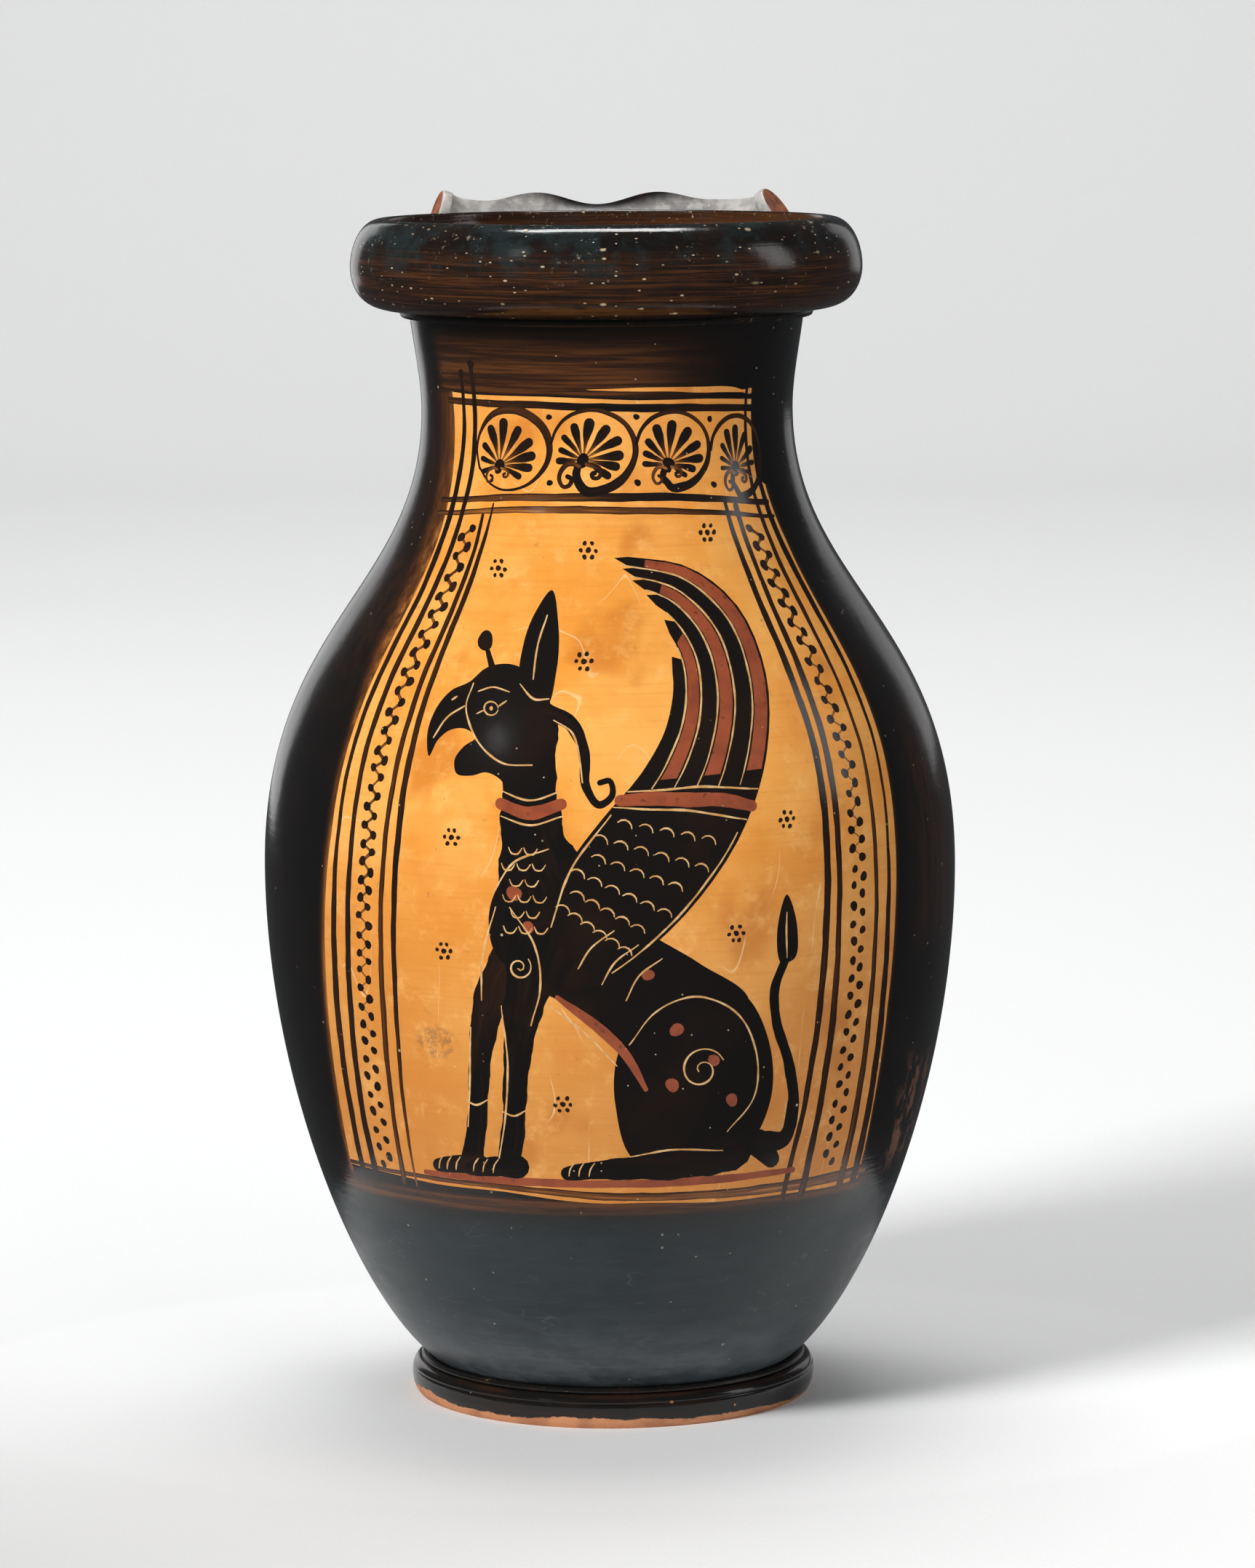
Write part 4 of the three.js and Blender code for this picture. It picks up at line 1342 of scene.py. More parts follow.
@dataclass
class Mouth:
    """The mouth ring and its fillet."""

    sizes: MouthSizes
    skin: Skin

    def __post_init__(self) -> None:
        """Works out what follows from the neck."""
        self.neck = self.skin.sizes.top_radius
        self.level = self.skin.sizes.top_level
        self.radius = self.neck + self.sizes.overhang
        self.crest = self.radius - self.sizes.crest_setback

    def ring(self) -> Form:
        """Turns the mouth ring, a little lower at the handle.

        Returns:
            Its mesh.
        """
        s = self.sizes
        underside = self.neck + s.underside
        shelf, crown = self.radius - underside, self.radius - self.crest
        above = s.height - s.girth_level
        neck_bore = self.neck - self.skin.sizes.wall
        bore = self.crest - s.inner_edge
        below = bezier((underside, 0), (self.radius - shelf * 0.065, 0), (self.radius, s.girth_level * 0.78),
                       (self.radius, s.girth_level), 28)
        shoulder = bezier((self.radius, s.girth_level), (self.radius, s.girth_level + above * 0.34),
                          (self.radius - crown * 0.25, s.height), (self.crest, s.height), 32)
        lip = bezier((self.crest, s.height), (bore + 0.3, s.height), (bore, s.height - 0.35),
                     (bore, s.height - s.inner_edge), 6)
        wall = bezier((bore, s.height - s.inner_edge), (bore, s.height * 0.62),
                      (neck_bore + (bore - neck_bore) * 0.4, s.height * 0.35), (neck_bore, 0), 24)
        outline = joined(below, shoulder, lip, wall)

        def sag(points: Array) -> Array:
            """Lowers the back and lifts the front in proportion to the height.

            Args:
                points: The ring's points.

            Returns:
                The moved points.
            """
            share = points[:, 1] / self.crest * points[:, 2] / s.height
            moved = points.copy()
            moved[:, 2] += self.level - share * s.sag / 2
            return moved

        return revolve(outline).shaped(sag)

    def fillet(self) -> Form:
        """Turns the fillet under the mouth ring.

        Returns:
            Its mesh.
        """
        s = self.sizes
        top = self.level
        lower = float(self.skin.radius(top - s.fillet_height))
        edge = self.neck + 0.3 + s.fillet_width
        low = -s.fillet_height
        knots = [(lower + 0.75, low), (edge - 0.1, low * 0.92), (edge + 0.23, low * 0.5), (edge + 0.1, -0.02)]
        bead = flowing(knots, 0.15)
        return revolve(np.vstack([[(lower - 0.5, low)], bead, [(self.neck - 0.5, 0)]]) + (0, top))


# Handle


@dataclass(frozen=True)
class HandleSizes:
    """Crossbar, rotelles and reeds. Levels are counted from the plane of the rim."""

    rotelle_radius: float = 5.6
    rotelle_thickness: float = 2.6
    rotelle_rounding: float = 0.7
    rotelle_top: float = 4.5
    rotelle_columns: int = 96
    rotelle_slip_rows: int = 11
    turns: Pair = (10, 21)
    lifts: Pair = (19, 36)
    bar_half_span: float = 38.4
    bar_setback: float = 1.6
    bar_sagitta: float = 6.7
    bar_core: float = -2.0
    bar_middle: float = 0.8
    bar_crest: float = 3.5
    bar_saddle: float = 1.8
    bar_saddle_distance: float = 25.0
    bar_front: float = 3.3
    bar_back: float = 4.2
    bar_root: float = 2.6
    bar_hollow: float = 2.3
    bar_inner_limit: float = 48.3
    bar_middle_run: float = 20.0
    bar_end_run: float = 5.0
    crest_spacing: float = 27.0
    crest_shift: float = 2.1
    reed_width: float = 13.2
    reed_thickness: float = 10.0
    seam_half_spacing: float = 6.2
    root_half_spacing: float = 8.2
    crest_clearance: float = 0.5
    shoulder_level: float = 58.0
    root_sink: float = 9.0
    inset: float = 1.1
    arch_reach: float = 10.5
    arch_drop: float = 26.0
    arch_pull: float = 17.0
    shoulder_bend: float = 42.0
    shoulder_pull: float = 20.0
    gap: float = 0.3


def bezier_at(points: Sequence[Array], t: float) -> tuple[Array, Array]:
    """The place and the direction on a cubic curve.

    Args:
        points: The curve's four points.
        t: The share of it.

    Returns:
        The place, and the direction with length 1.
    """
    a, b, c, d = points
    s = 1 - t
    place = s**3 * a + 3 * s * s * t * b + 3 * s * t * t * c + t**3 * d
    way = 3 * s * s * (b - a) + 6 * s * t * (c - b) + 3 * t * t * (d - c)
    return place, way / np.linalg.norm(way)


def eased(share: float) -> float:
    """A share from 0 to 1 that starts and ends gently."""
    return (1 - math.cos(math.pi * min(max(share, 0), 1))) / 2


@dataclass
class Handle:
    """The scalloped crossbar, the two rotelles and the two reeds."""

    sizes: HandleSizes
    mouth: Mouth

    def __post_init__(self) -> None:
        """Works out the places that follow from the mouth."""
        s, mouth = self.sizes, self.mouth
        self.skin = mouth.skin
        self.rim = mouth.level + mouth.sizes.height
        self.bar_y = mouth.crest + s.bar_setback
        self.strap_y = self.skin.sizes.belly_radius - s.inset - s.reed_thickness / 2

    def facing(self, side: int) -> Array:
        """The direction that a rotelle's face looks.

        Args:
            side: -1 for the left and 1 for the right.

        Returns:
            A vector of length 1.
        """
        turn = math.radians(self.sizes.turns[side > 0])
        lift = math.radians(self.sizes.lifts[side > 0])
        level = math.cos(lift)
        return np.array([side * level * math.cos(turn), -level * math.sin(turn), math.sin(lift)])

    def centre(self, side: int) -> Array:
        """The middle of a rotelle's face.

        Args:
            side: -1 for the left and 1 for the right.

        Returns:
            Its coordinates.
        """
        facing = self.facing(side)
        rise = self.sizes.rotelle_radius * math.hypot(facing[0], facing[1])
        s = self.sizes
        return np.array([side * s.bar_half_span, self.bar_y - s.bar_sagitta, self.rim + s.rotelle_top - rise])

    def rotelle(self, side: int) -> Form:
        """A disc with a slightly dished face and a rounded edge.

        Args:
            side: -1 for the left one and 1 for the right.

        Returns:
            The disc in its place.
        """
        s = self.sizes
        edge, rounding, back = s.rotelle_radius, s.rotelle_rounding, -s.rotelle_thickness
        heel = edge - rounding
        rear = bezier((heel, back), (edge - 0.2, back), (edge, back + 0.2), (edge, back + rounding), 5)
        front = bezier((edge, -rounding), (edge, -0.25), (edge - 0.25, 0), (heel, 0), 6)
        face = [(edge - 1.3, -0.08), (edge * 0.5, -0.3), (edge * 0.2, -0.36), (0, -0.38)]
        turn = Vector((0, 0, 1)).rotation_difference(Vector(self.facing(side))).to_matrix()
        centre = self.centre(side)
        disc = revolve(np.vstack([[(0, back)], rear, front, face]), s.rotelle_columns, closed=False)
        disc.slots = [int(n // s.rotelle_columns < s.rotelle_slip_rows) for n in range(len(disc.faces))]
        return disc.shaped(lambda p: p @ np.array(turn).T + centre)

    def _bar_path(self, side: int) -> list[Array]:
        """The curve down the middle of one half of the crossbar.

        Args:
            side: -1 for the left and 1 for the right.

        Returns:
            Its four points.
        """
        s, facing = self.sizes, self.facing(side)
        end = self.centre(side) - facing * (s.rotelle_thickness - 0.3)
        middle = np.array([0, self.bar_y, self.rim + s.bar_core])
        return [middle, middle + (side * s.bar_middle_run, 0, 0), end - facing * s.bar_end_run, end]

    def _bar_top(self, distance: float) -> float:
        """The level of the bar's top.

        Args:
            distance: How far from its middle.

        Returns:
            The level.
        """
        s = self.sizes
        crest = s.crest_spacing / 2
        if distance < crest:
            low, high, share = s.bar_middle, s.bar_crest, distance / crest
        else:
            low, high, share = s.bar_crest, s.bar_saddle, (distance - crest) / (s.bar_saddle_distance - crest)
        return self.rim + low + (high - low) * eased(share)

    def _bar_section(self, centre: Array, along: Array, end: float, sides: int) -> Array:
        """One section across the bar: hollow in front, and round towards the rotelle.

        Args:
            centre: Its middle.
            along: The bar's direction there.
            end: How far out the bar ends.
            sides: How many points it has.

        Returns:
            The section's points.
        """
        s = self.sizes
        distance = abs(centre[0])
        back = np.cross((0, 0, 1), along)
        back /= np.linalg.norm(back)
        up = np.cross(along, back)
        trumpet = min(max((distance - s.bar_saddle_distance) / (end - s.bar_saddle_distance), 0), 1) ** 2

        def flared(size: float) -> float:
            """A size that grows into the disc's."""
            return size + (s.rotelle_radius - size) * trumpet

        height = flared((self._bar_top(abs(centre[0] + s.crest_shift)) - centre[2]) / up[2])
        root, front, rear = flared(s.bar_root), flared(s.bar_front), flared(s.bar_back)
        hollow = s.bar_hollow + (1 - s.bar_hollow) * trumpet
        angle = np.arange(sides) / sides * 2 * math.pi
        across, upward = np.cos(angle), np.sin(angle)
        power = np.where((across < 0) & (upward > 0), hollow, 1)
        n = np.sign(across) * np.abs(across) ** power * np.where(across < 0, front, rear)
        u = np.sign(upward) * np.abs(upward) ** power * np.where(upward < 0, root, height)
        ring = centre + n[:, None] * back + u[:, None] * up
        reach = np.hypot(ring[:, 0], ring[:, 1])
        buried = (ring[:, 2] < self.rim - 0.4) & (reach < s.bar_inner_limit)
        ring[buried, :2] *= (s.bar_inner_limit / reach[buried])[:, None]
        return ring

    def crossbar(self, steps: int = 90, sides: int = 72) -> Form:
        """The crossbar's mesh.

        Args:
            steps: Sections on each half.
            sides: Points of a section.

        Returns:
            The form.
        """
        rings = []
        for side in (-1, 1):
            path = self._bar_path(side)
            shares = np.linspace(1, 0, steps + 1) if side < 0 else np.linspace(0, 1, steps + 1)[1:]
            for t in shares:
                place, way = bezier_at(path, float(t))
                rings.append(self._bar_section(place, way * side, abs(path[3][0]), sides))
        return loft(np.array(rings))

    def _reed_paths(self) -> list[list[Array]]:
        """The curves down the middle of the strap, at the back's centre.

        Returns:
            Three curves of four points.
        """
        s = self.sizes
        body = self.skin.sizes
        top = self.rim + s.bar_crest - s.crest_clearance - s.reed_thickness / 2
        arch = top - s.arch_drop
        root_level = body.top_level - body.top_rise - s.shoulder_level
        bend = root_level + s.shoulder_bend
        root = float(self.skin.radius(root_level)) - s.root_sink
        strap = self.strap_y
        curves = (
            ((self.bar_y, top), (self.bar_y + s.arch_reach, top), (strap, arch + s.arch_pull), (strap, arch)),
            tuple((strap, arch + (bend - arch) * k / 3) for k in range(4)),
            ((strap, bend), (strap, bend - s.shoulder_pull),
             (root + (strap - root) * 0.75, root_level + s.shoulder_pull / 2), (root, root_level)),
        )
        return [[np.array([0, *point]) for point in curve] for curve in curves]

    def _half_spacing(self, stretch: int, share: float) -> float:
        """Half the distance between the reeds' middles.

        Args:
            stretch: The number of the strap's curve.
            share: The share of it.

        Returns:
            The half distance.
        """
        s = self.sizes
        pairs = ((s.crest_spacing / 2, s.seam_half_spacing), (s.seam_half_spacing,) * 2,
                 (s.seam_half_spacing, s.root_half_spacing))
        low, high = pairs[stretch]
        return low + (high - low) * eased(share)

    def reed(self, side: int, sides: int = 48) -> Form:
        """One clay roll of the handle, let into the wall where it meets the body.

        Args:
            side: -1 for the left one and 1 for the right.
            sides: Points of a section.

        Returns:
            The form.
        """
        s = self.sizes
        rings = []
        for stretch, (path, steps) in enumerate(zip(self._reed_paths(), (44, 10, 40), strict=True)):
            for i in range(0 if stretch == 0 else 1, steps + 1):
                share = i / steps
                place, way = bezier_at(path, share)
                place = place + (side * self._half_spacing(stretch, share), 0, 0)
                inward = np.cross(way, (1, 0, 0))
                angle = np.arange(sides) / sides * 2 * math.pi
                ring = place + np.outer(np.cos(angle) * s.reed_width / 2, (1, 0, 0)) + np.outer(
                    np.sin(angle) * s.reed_thickness / 2, inward)
                ring[:, 0] = side * np.maximum(side * ring[:, 0], s.gap / 6)
                rings.append(ring)
        form = loft(np.array(rings))
        return form.shaped(self._let_in)

    def _let_in(self, points: Array, depth: float = 1.4) -> Array:
        """Stops a form just under the body's surface.

        Args:
            points: Its points.
            depth: How far under.

        Returns:
            The moved points.
        """
        moved = points.copy()
        radius = np.hypot(points[:, 0], points[:, 1])
        limit = self.skin.radius(points[:, 2]) - depth
        deep = (radius < limit) & (points[:, 2] < self.skin.sizes.top_level)
        moved[deep, :2] *= (limit[deep] / radius[deep])[:, None]
        return moved


# Finishes


def maths(operation: str, reflected: bool = False) -> Callable[..., Wire]:
    """Makes a method of Wire that adds one Math node.

    Args:
        operation: What the node does.
        reflected: Whether the wire comes second.

    Returns:
        The method.
    """

    def apply(wire: Wire, *others: Wire | float) -> Wire:
        """The node's result."""
        values = (*others, wire) if reflected else (wire, *others)
        return wire.graph.add("Math", {"operation": operation}, dict(enumerate(values)))

    return apply


class Wire:
    """A socket of a node tree used as a number. Its operators add the Math nodes."""

    __add__ = __radd__ = maths("ADD")
    __sub__ = maths("SUBTRACT")
    __rsub__ = maths("SUBTRACT", reflected=True)
    __mul__ = __rmul__ = maths("MULTIPLY")
    __truediv__ = maths("DIVIDE")
    __rtruediv__ = maths("DIVIDE", reflected=True)
    __pow__ = maths("POWER")
    __rpow__ = maths("POWER", reflected=True)
    __abs__ = maths("ABSOLUTE")
    over = maths("MAXIMUM")

    def __init__(self, graph: Graph, socket: bpy.types.NodeSocket) -> None:
        """Keeps the socket and the graph it belongs to."""
        self.graph, self.socket = graph, socket

    def rise(self, low: float, high: float) -> Wire:
        """0 below low and 1 above high, with a smooth step between."""
        return self.graph.add("MapRange", {"interpolation_type": "SMOOTHSTEP"},
                              {"Value": self, "From Min": low, "From Max": high})

    def fall(self, low: float, high: float) -> Wire:
        """1 below low and 0 above high."""
        return 1 - self.rise(low, high)


class Graph:
    """The node tree of a material, round its Principled shader, or of a world."""

    def __init__(self, owner: Material | bpy.types.World) -> None:
        """Turns the owner's nodes on and finds the node that they all lead to.

        Args:
            owner: The material or the world.
        """
        owner.use_nodes = True
        self.owner, self.tree = owner, owner.node_tree
        self.last = next(n for n in self.tree.nodes if n.type in ("BSDF_PRINCIPLED", "OUTPUT_WORLD"))

    @classmethod
    def of(cls, name: str) -> Graph:
        """The graph of a new material."""
        return cls(bpy.data.materials.new(name))

    def add(self, kind: str, settings: dict | None = None, sockets: dict | None = None,
            output: int | str = 0) -> Wire:
        """Adds one node.

        Args:
            kind: The shader node's type.
            settings: Its properties, set first. A ramp's stops go under "stops".
            sockets: Values or wires for its inputs, by name or number.
            output: The output that is returned.

        Returns:
            The output as a wire.
        """
        node = self.tree.nodes.new("ShaderNode" + kind)
        for key, value in (settings or {}).items():
            if key == "stops":
                ramp = node.color_ramp
                while len(ramp.elements) < len(value):
                    ramp.elements.new(0.5)
                for element, (at, colour) in zip(ramp.elements, value, strict=True):
                    element.position = at
                    element.color = (*colour, 1)
            else:
                setattr(node, key, value)
        for key, value in (sockets or {}).items():
            self.join(node.inputs[key], value)
        return Wire(self, node.outputs[output])

    def join(self, socket: bpy.types.NodeSocket, value: Wire | float | Sequence[float]) -> None:
        """Links a wire to a socket, or sets the socket's own value.

        Args:
            socket: The socket.
            value: The wire, a number, or numbers that opacity may follow.
        """
        if isinstance(value, Wire):
            self.tree.links.new(value.socket, socket)
        elif isinstance(value, (int, float)):
            socket.default_value = value
        else:
            wanted = len(socket.default_value)
            socket.default_value = (*value, 1)[:wanted]

    @cached_property
    def place(self) -> Wire:
        """The vessel's own coordinates in millimetres."""
        own = self.add("TexCoord", output="Object")
        return self.add("VectorMath", {"operation": "SCALE"}, {0: own, "Scale": 1 / MM})

    def stretched(self, by: Sequence[float] | None) -> Wire:
        """The coordinates, multiplied where factors are given.

        Args:
            by: A factor for each axis.

        Returns:
            The vector.
        """
        if by is None:
            return self.place
        return self.add("VectorMath", {"operation": "MULTIPLY"}, {0: self.place, 1: by})

    def parts(self, vector: Wire) -> tuple[Wire, Wire, Wire]:
        """The three numbers of a vector."""
        split = self.add("SeparateXYZ", None, {0: vector})
        return tuple(Wire(self, split.socket.node.outputs[i]) for i in range(3))

    def vector(self, x: Wire | float, y: Wire | float, z: Wire | float) -> Wire:
        """A vector of three numbers."""
        return self.add("CombineXYZ", None, {0: x, 1: y, 2: z})

    def layer(self, name: str) -> Wire:
        """A vector that the mesh carries."""
        return self.add("Attribute", {"attribute_name": name}, output="Vector")

    def noise(self, size: float, detail: float = 2.0, rough: float = 0.5,
              by: Sequence[float] | None = None, at: Wire | None = None) -> Wire:
        """Cloudy noise about 0.5.

        Args:
            size: About how wide its clouds are, in millimetres.
            detail: How many finer layers it has.
            rough: How strong they are.
            by: Factors for the coordinates. A small one draws the clouds out along that axis.
            at: Other coordinates.

        Returns:
            The noise.
        """
        place = at or self.stretched(by)
        return self.add("TexNoise", None,
                        {"Vector": place, "Scale": 1 / size, "Detail": detail, "Roughness": rough})

    def blend(self, share: Wire | float, low: Wire | Colour, high: Wire | Colour) -> Wire:
        """A mix of two colours."""
        return self.add("Mix", {"data_type": "RGBA"}, {0: share, 6: low, 7: high}, 2)

    def ramp(self, value: Wire, stops: Sequence[tuple[float, Colour]]) -> Wire:
        """A colour looked up from stops."""
        return self.add("ValToRGB", {"stops": stops}, {0: value})

    def specks(self, spacing: float, share: float, radius: float, by: Sequence[float] | None = None) -> Wire:
        """Small grains at random places.

        Args:
            spacing: Millimetres from one possible grain to the next.
            share: How many of them are there.
            radius: A grain's radius.
            by: Factors for the coordinates.

        Returns:
            1 on a grain and 0 off it.
        """
        cell = self.add("TexVoronoi", None,
                        {"Vector": self.stretched(by), "Scale": 1 / spacing, "Randomness": 1})
        luck = self.parts(Wire(self, cell.socket.node.outputs["Color"]))[0]
        edge = radius / spacing
        return cell.fall(edge * 0.6, edge) * luck.rise(1 - share, 1 - share * 0.6)

    def finish(self, colour: Wire | Colour, roughness: Wire | float, height: Wire) -> Material:
        """Feeds the shader.

        Args:
            colour: The base colour.
            roughness: The roughness.
            height: The relief in millimetres.

        Returns:
            The finished material.
        """
        relief = self.add("Bump", None, {"Height": height, "Distance": MM}, "Normal")
        for name, value in (("Base Color", colour), ("Roughness", roughness), ("Normal", relief)):
            self.join(self.last.inputs[name], value)
        return self.owner


JET: Colour = (0.0062, 0.0056, 0.0052)
UMBER: Colour = (0.032, 0.0125, 0.0058)
CHESTNUT: Colour = (0.105, 0.036, 0.0105)
AMBER: Colour = (0.34, 0.125, 0.026)
SLATE: Colour = (0.0105, 0.0185, 0.0220)
SLATE_PALE: Colour = (0.0165, 0.0255, 0.0290)
GRIT: Colour = (0.52, 0.40, 0.25)
SLIP_STOPS = ((0, JET), (0.32, UMBER), (0.66, CHESTNUT), (1, AMBER))


@dataclass(frozen=True)
class GroundSlip:
    """The black ground round the panel: brown where it is thin, streaked along the brush, with painted sheen
    on the lower body and the right flank and a painted floor reflection above the foot.
    """

    def make(self) -> Material:
        """Builds the material.

        Returns:
            The material.
        """
        g = Graph.of("ground_slip")
        x, y, z = g.parts(g.place)
        left, right, top = g.parts(g.layer("margin"))
        angle = g.add("Math", {"operation": "ARCTAN2"}, {0: x, 1: 0 - y}) * math.degrees(1)
        level_streak = g.noise(1.1, 4, 0.66, by=(0.03, 0.03, 1))
        upright_streak = g.noise(2.2, 4, 0.62, by=(1, 1, 0.03))
        cloud = g.noise(26, 3)
        level_dark = level_streak.rise(0.34, 0.66)
        upright_dark = upright_streak.rise(0.3, 0.7)
        front = angle.rise(-64, -57) * angle.fall(4, 44)
        neck = top.rise(0, 0.9) * z.fall(229, 238) * front * (0.18 + level_dark * 0.46)
        band_width = z.rise(150, 182) * 8.5 + 3.2
        beside = (left / band_width).fall(0, 1) * left.rise(-1.2, -0.1) * z.rise(52, 56) * z.fall(221, 224)
        beside = beside ** 1.5 * (0.5 + upright_dark * 0.5)
        shoulder = z.rise(145, 180) * z.fall(218, 232) * angle.fall(-54, -50) * angle.rise(-80, -60)
        shoulder = shoulder * (0.02 + upright_dark * 0.2)
        hem = right.fall(0, 1.3) * right.rise(-0.8, -0.1) * z.rise(52, 56) * z.fall(200, 203) * 0.4
        foot_line = z.rise(50.2, 51.4) * z.fall(53.6, 55) * angle.rise(-64, -58) * angle.fall(54, 60)
        foot_line = foot_line * (0.25 + level_dark * 0.35)
        # Painted sheen: brown streaks on the right flank stand in for the reflections there.
        painted_side_sheen = angle.rise(56, 66) * angle.fall(74, 88) * z.rise(96, 112) * z.fall(140, 165)
        painted_side_sheen = painted_side_sheen * upright_dark * 0.34
        thin = neck.over(beside).over(shoulder).over(hem).over(foot_line).over(painted_side_sheen)
        thin = thin + cloud.rise(0.45, 0.8) * 0.06
        black = g.ramp(thin, SLIP_STOPS)
        low = z.fall(44, 53)
        mottle = g.noise(4, 4, 0.68, by=(0.4, 0.4, 1)).rise(0.36, 0.66)
        # The lower body is a duller slip, and its bluish slate colour is a painted sheen.
        slate = g.blend(mottle, SLATE, SLATE_PALE)
        # Painted reflection: the slip is paler just above the foot, where it mirrors the bright floor.
        slate = g.blend(z.fall(8, 30) * (0.4 + mottle * 0.5), slate, (0.10, 0.115, 0.125))
        lines = abs(g.noise(3, 2, by=(0.16, 0.16, 0.6)) - 0.5).fall(0.002, 0.008)
        lines = lines * g.noise(11).rise(0.5, 0.6) * low
        slate = g.blend(lines * 0.5, slate, (0.06, 0.075, 0.08))
        black = g.blend(low * (0.85 + level_dark * 0.15), black, slate)
        scar = g.noise(3.4, 5, 0.7, by=(0.8, 0.8, 0.4)).rise(0.48, 0.6)
        scar = scar * angle.rise(60, 66) * angle.fall(74, 80) * z.rise(50, 60) * z.fall(72, 84)
        black = g.blend(scar * 0.9, black, (0.16, 0.07, 0.035))
        # Pale blotches above the foot at the front: dust, with a painted reflection of the lit floor.
        blotches = g.noise(3.4, 4, 0.7, by=(0.5, 0.5, 1)).rise(0.5, 0.7) * z.fall(9, 17)
        black = g.blend(blotches * angle.fall(10, 40) * 0.5, black, (0.15, 0.16, 0.16))
        grains = g.specks(2.1, 0.1, 0.24).over(g.specks(3.6, 0.12, 0.36)).over(g.specks(8, 0.12, 0.5))
        grains = grains * (0.5 + z.rise(200, 226) * 0.5)
        colour = g.blend(grains * 0.8, black, GRIT)
        rough = 0.16 + cloud.rise(0.3, 0.8) * 0.06 + low * (0.18 + mottle * 0.06) + thin * 0.06 + scar * 0.2
        ridges = level_streak * 0.03 + g.noise(3.2, 3) * 0.035 + g.noise(18, 1) * 0.25
        return g.finish(colour, rough, ridges + mottle * low * 0.02 - grains * 0.03 - scar * 0.05)


@dataclass(frozen=True)
class PanelClay:
    """The reserved clay: bright orange with cloudy wash, stains, speckle and hairline scratches."""

    light: Colour = (0.84, 0.385, 0.082)
    warm: Colour = (0.75, 0.28, 0.038)
    deep: Colour = (0.55, 0.172, 0.02)
    low: Colour = (0.47, 0.162, 0.024)
    stain: Colour = (0.24, 0.11, 0.04)
    smudge: Pair = (-36.5, 88)

    def make(self) -> Material:
        """Builds the material.

        Returns:
            The material.
        """
        g = Graph.of("panel_clay")
        x, _, z = g.parts(g.place)
        cloud = g.noise(30, 4, 0.6)
        mottle = g.noise(6, 5, 0.7)
        turned = g.noise(0.9, 4, 0.66, by=(0.03, 0.03, 1))
        colour = g.blend(cloud.rise(0.36, 0.66), self.light, self.warm)
        colour = g.blend(g.noise(16, 2, by=(1, 1, 0.8)).rise(0.56, 0.72) * 0.7, colour, self.deep)
        # Painted shade: the clay darkens towards the right side, away from the key light. It also darkens
        # towards the bottom.
        colour = g.blend(x.rise(14, 60) * 0.12 + z.fall(55, 150) * 0.6, colour, self.low)
        colour = g.blend(mottle.rise(0.5, 0.72) * 0.4, colour, (0.9, 0.5, 0.16))
        colour = g.blend(turned.rise(0.48, 0.7) * 0.22, colour, self.deep)
        dirt = g.noise(2.6, 5, 0.74).rise(0.58, 0.72) * g.noise(21).rise(0.46, 0.64)
        colour = g.blend(dirt * 0.55, colour, self.stain)
        off = ((x - self.smudge[0]) / 4.6) ** 2 + ((z - self.smudge[1]) / 3.6) ** 2
        rubbed = off.fall(0.4, 1.4) * g.noise(1.7, 4, 0.7).rise(0.42, 0.6)
        colour = g.blend(rubbed * 0.6, colour, self.stain)
        colour = g.blend(g.specks(1.9, 0.12, 0.2) * 0.6, colour, self.stain)
        colour = g.blend(g.specks(4.6, 0.16, 0.3) * 0.7, colour, (0.9, 0.66, 0.36))
        line = abs(g.noise(9, 1, by=(0.5, 0.5, 0.18)) - 0.5).fall(0.0012, 0.0035)
        line = line * g.noise(14, 1).rise(0.5, 0.6)
        colour = g.blend(line * 0.5, colour, (0.88, 0.6, 0.3))
        rough = 0.36 + mottle * 0.16 + dirt * 0.2
        height = turned * 0.02 + mottle * 0.03 + g.noise(18, 1) * 0.25 - line * 0.03
        return g.finish(colour, rough, height)


@dataclass(frozen=True)
class BrushSlip:
    """Slip laid with the brush: streaked along the stroke, dark at its edges and brown where it ran dry."""

    def make(self) -> Material:
        """Builds the material.

        Returns:
            The material.
        """
        g = Graph.of("brush_slip")
        across, along, load = g.parts(g.layer("brush"))
        hairs = g.noise(1, 3, 0.6, at=g.vector(across * 2.4, along * 0.07, along * 0.02))
        rim = abs(across) ** 2.5
        dry = 1 - load
        dry = dry * (1.15 - across * 0.3) + hairs.rise(0.42, 0.72) * (1 - rim) * (0.12 + dry * 0.5)
        dry = dry + g.noise(24, 3).rise(0.48, 0.78) * 0.13 - rim * (1 - load) * 0.75
        black = g.ramp(dry, SLIP_STOPS)
        grains = g.specks(1.9, 0.14, 0.22).over(g.specks(4.4, 0.16, 0.36))
        colour = g.blend(grains * 0.85, black, GRIT)
        rough = 0.15 + g.noise(9, 3) * 0.1
        height = g.noise(3, 3) * 0.035 + g.noise(18, 1) * 0.25 - grains * 0.04
        return g.finish(colour, rough, height)


@dataclass(frozen=True)
class AddedRed:
    """Dull added red, worn at its edges."""

    colour: Colour = (0.30, 0.066, 0.024)

    def make(self) -> Material:
        """Builds the material.

        Returns:
            The material.
        """
        g = Graph.of("added_red")
        patch = g.noise(5, 4, 0.6)
        colour = g.blend(patch.rise(0.35, 0.7), self.colour, (0.21, 0.046, 0.019))
        colour = g.blend(g.specks(1.7, 0.14, 0.22) * 0.7, colour, (0.62, 0.28, 0.1))
        colour = g.blend(g.noise(1.6, 3).rise(0.64, 0.74) * 0.6, colour, UMBER)
        height = patch * 0.04 + g.noise(1) * 0.02
        return g.finish(colour, 0.52 + patch * 0.2, height)


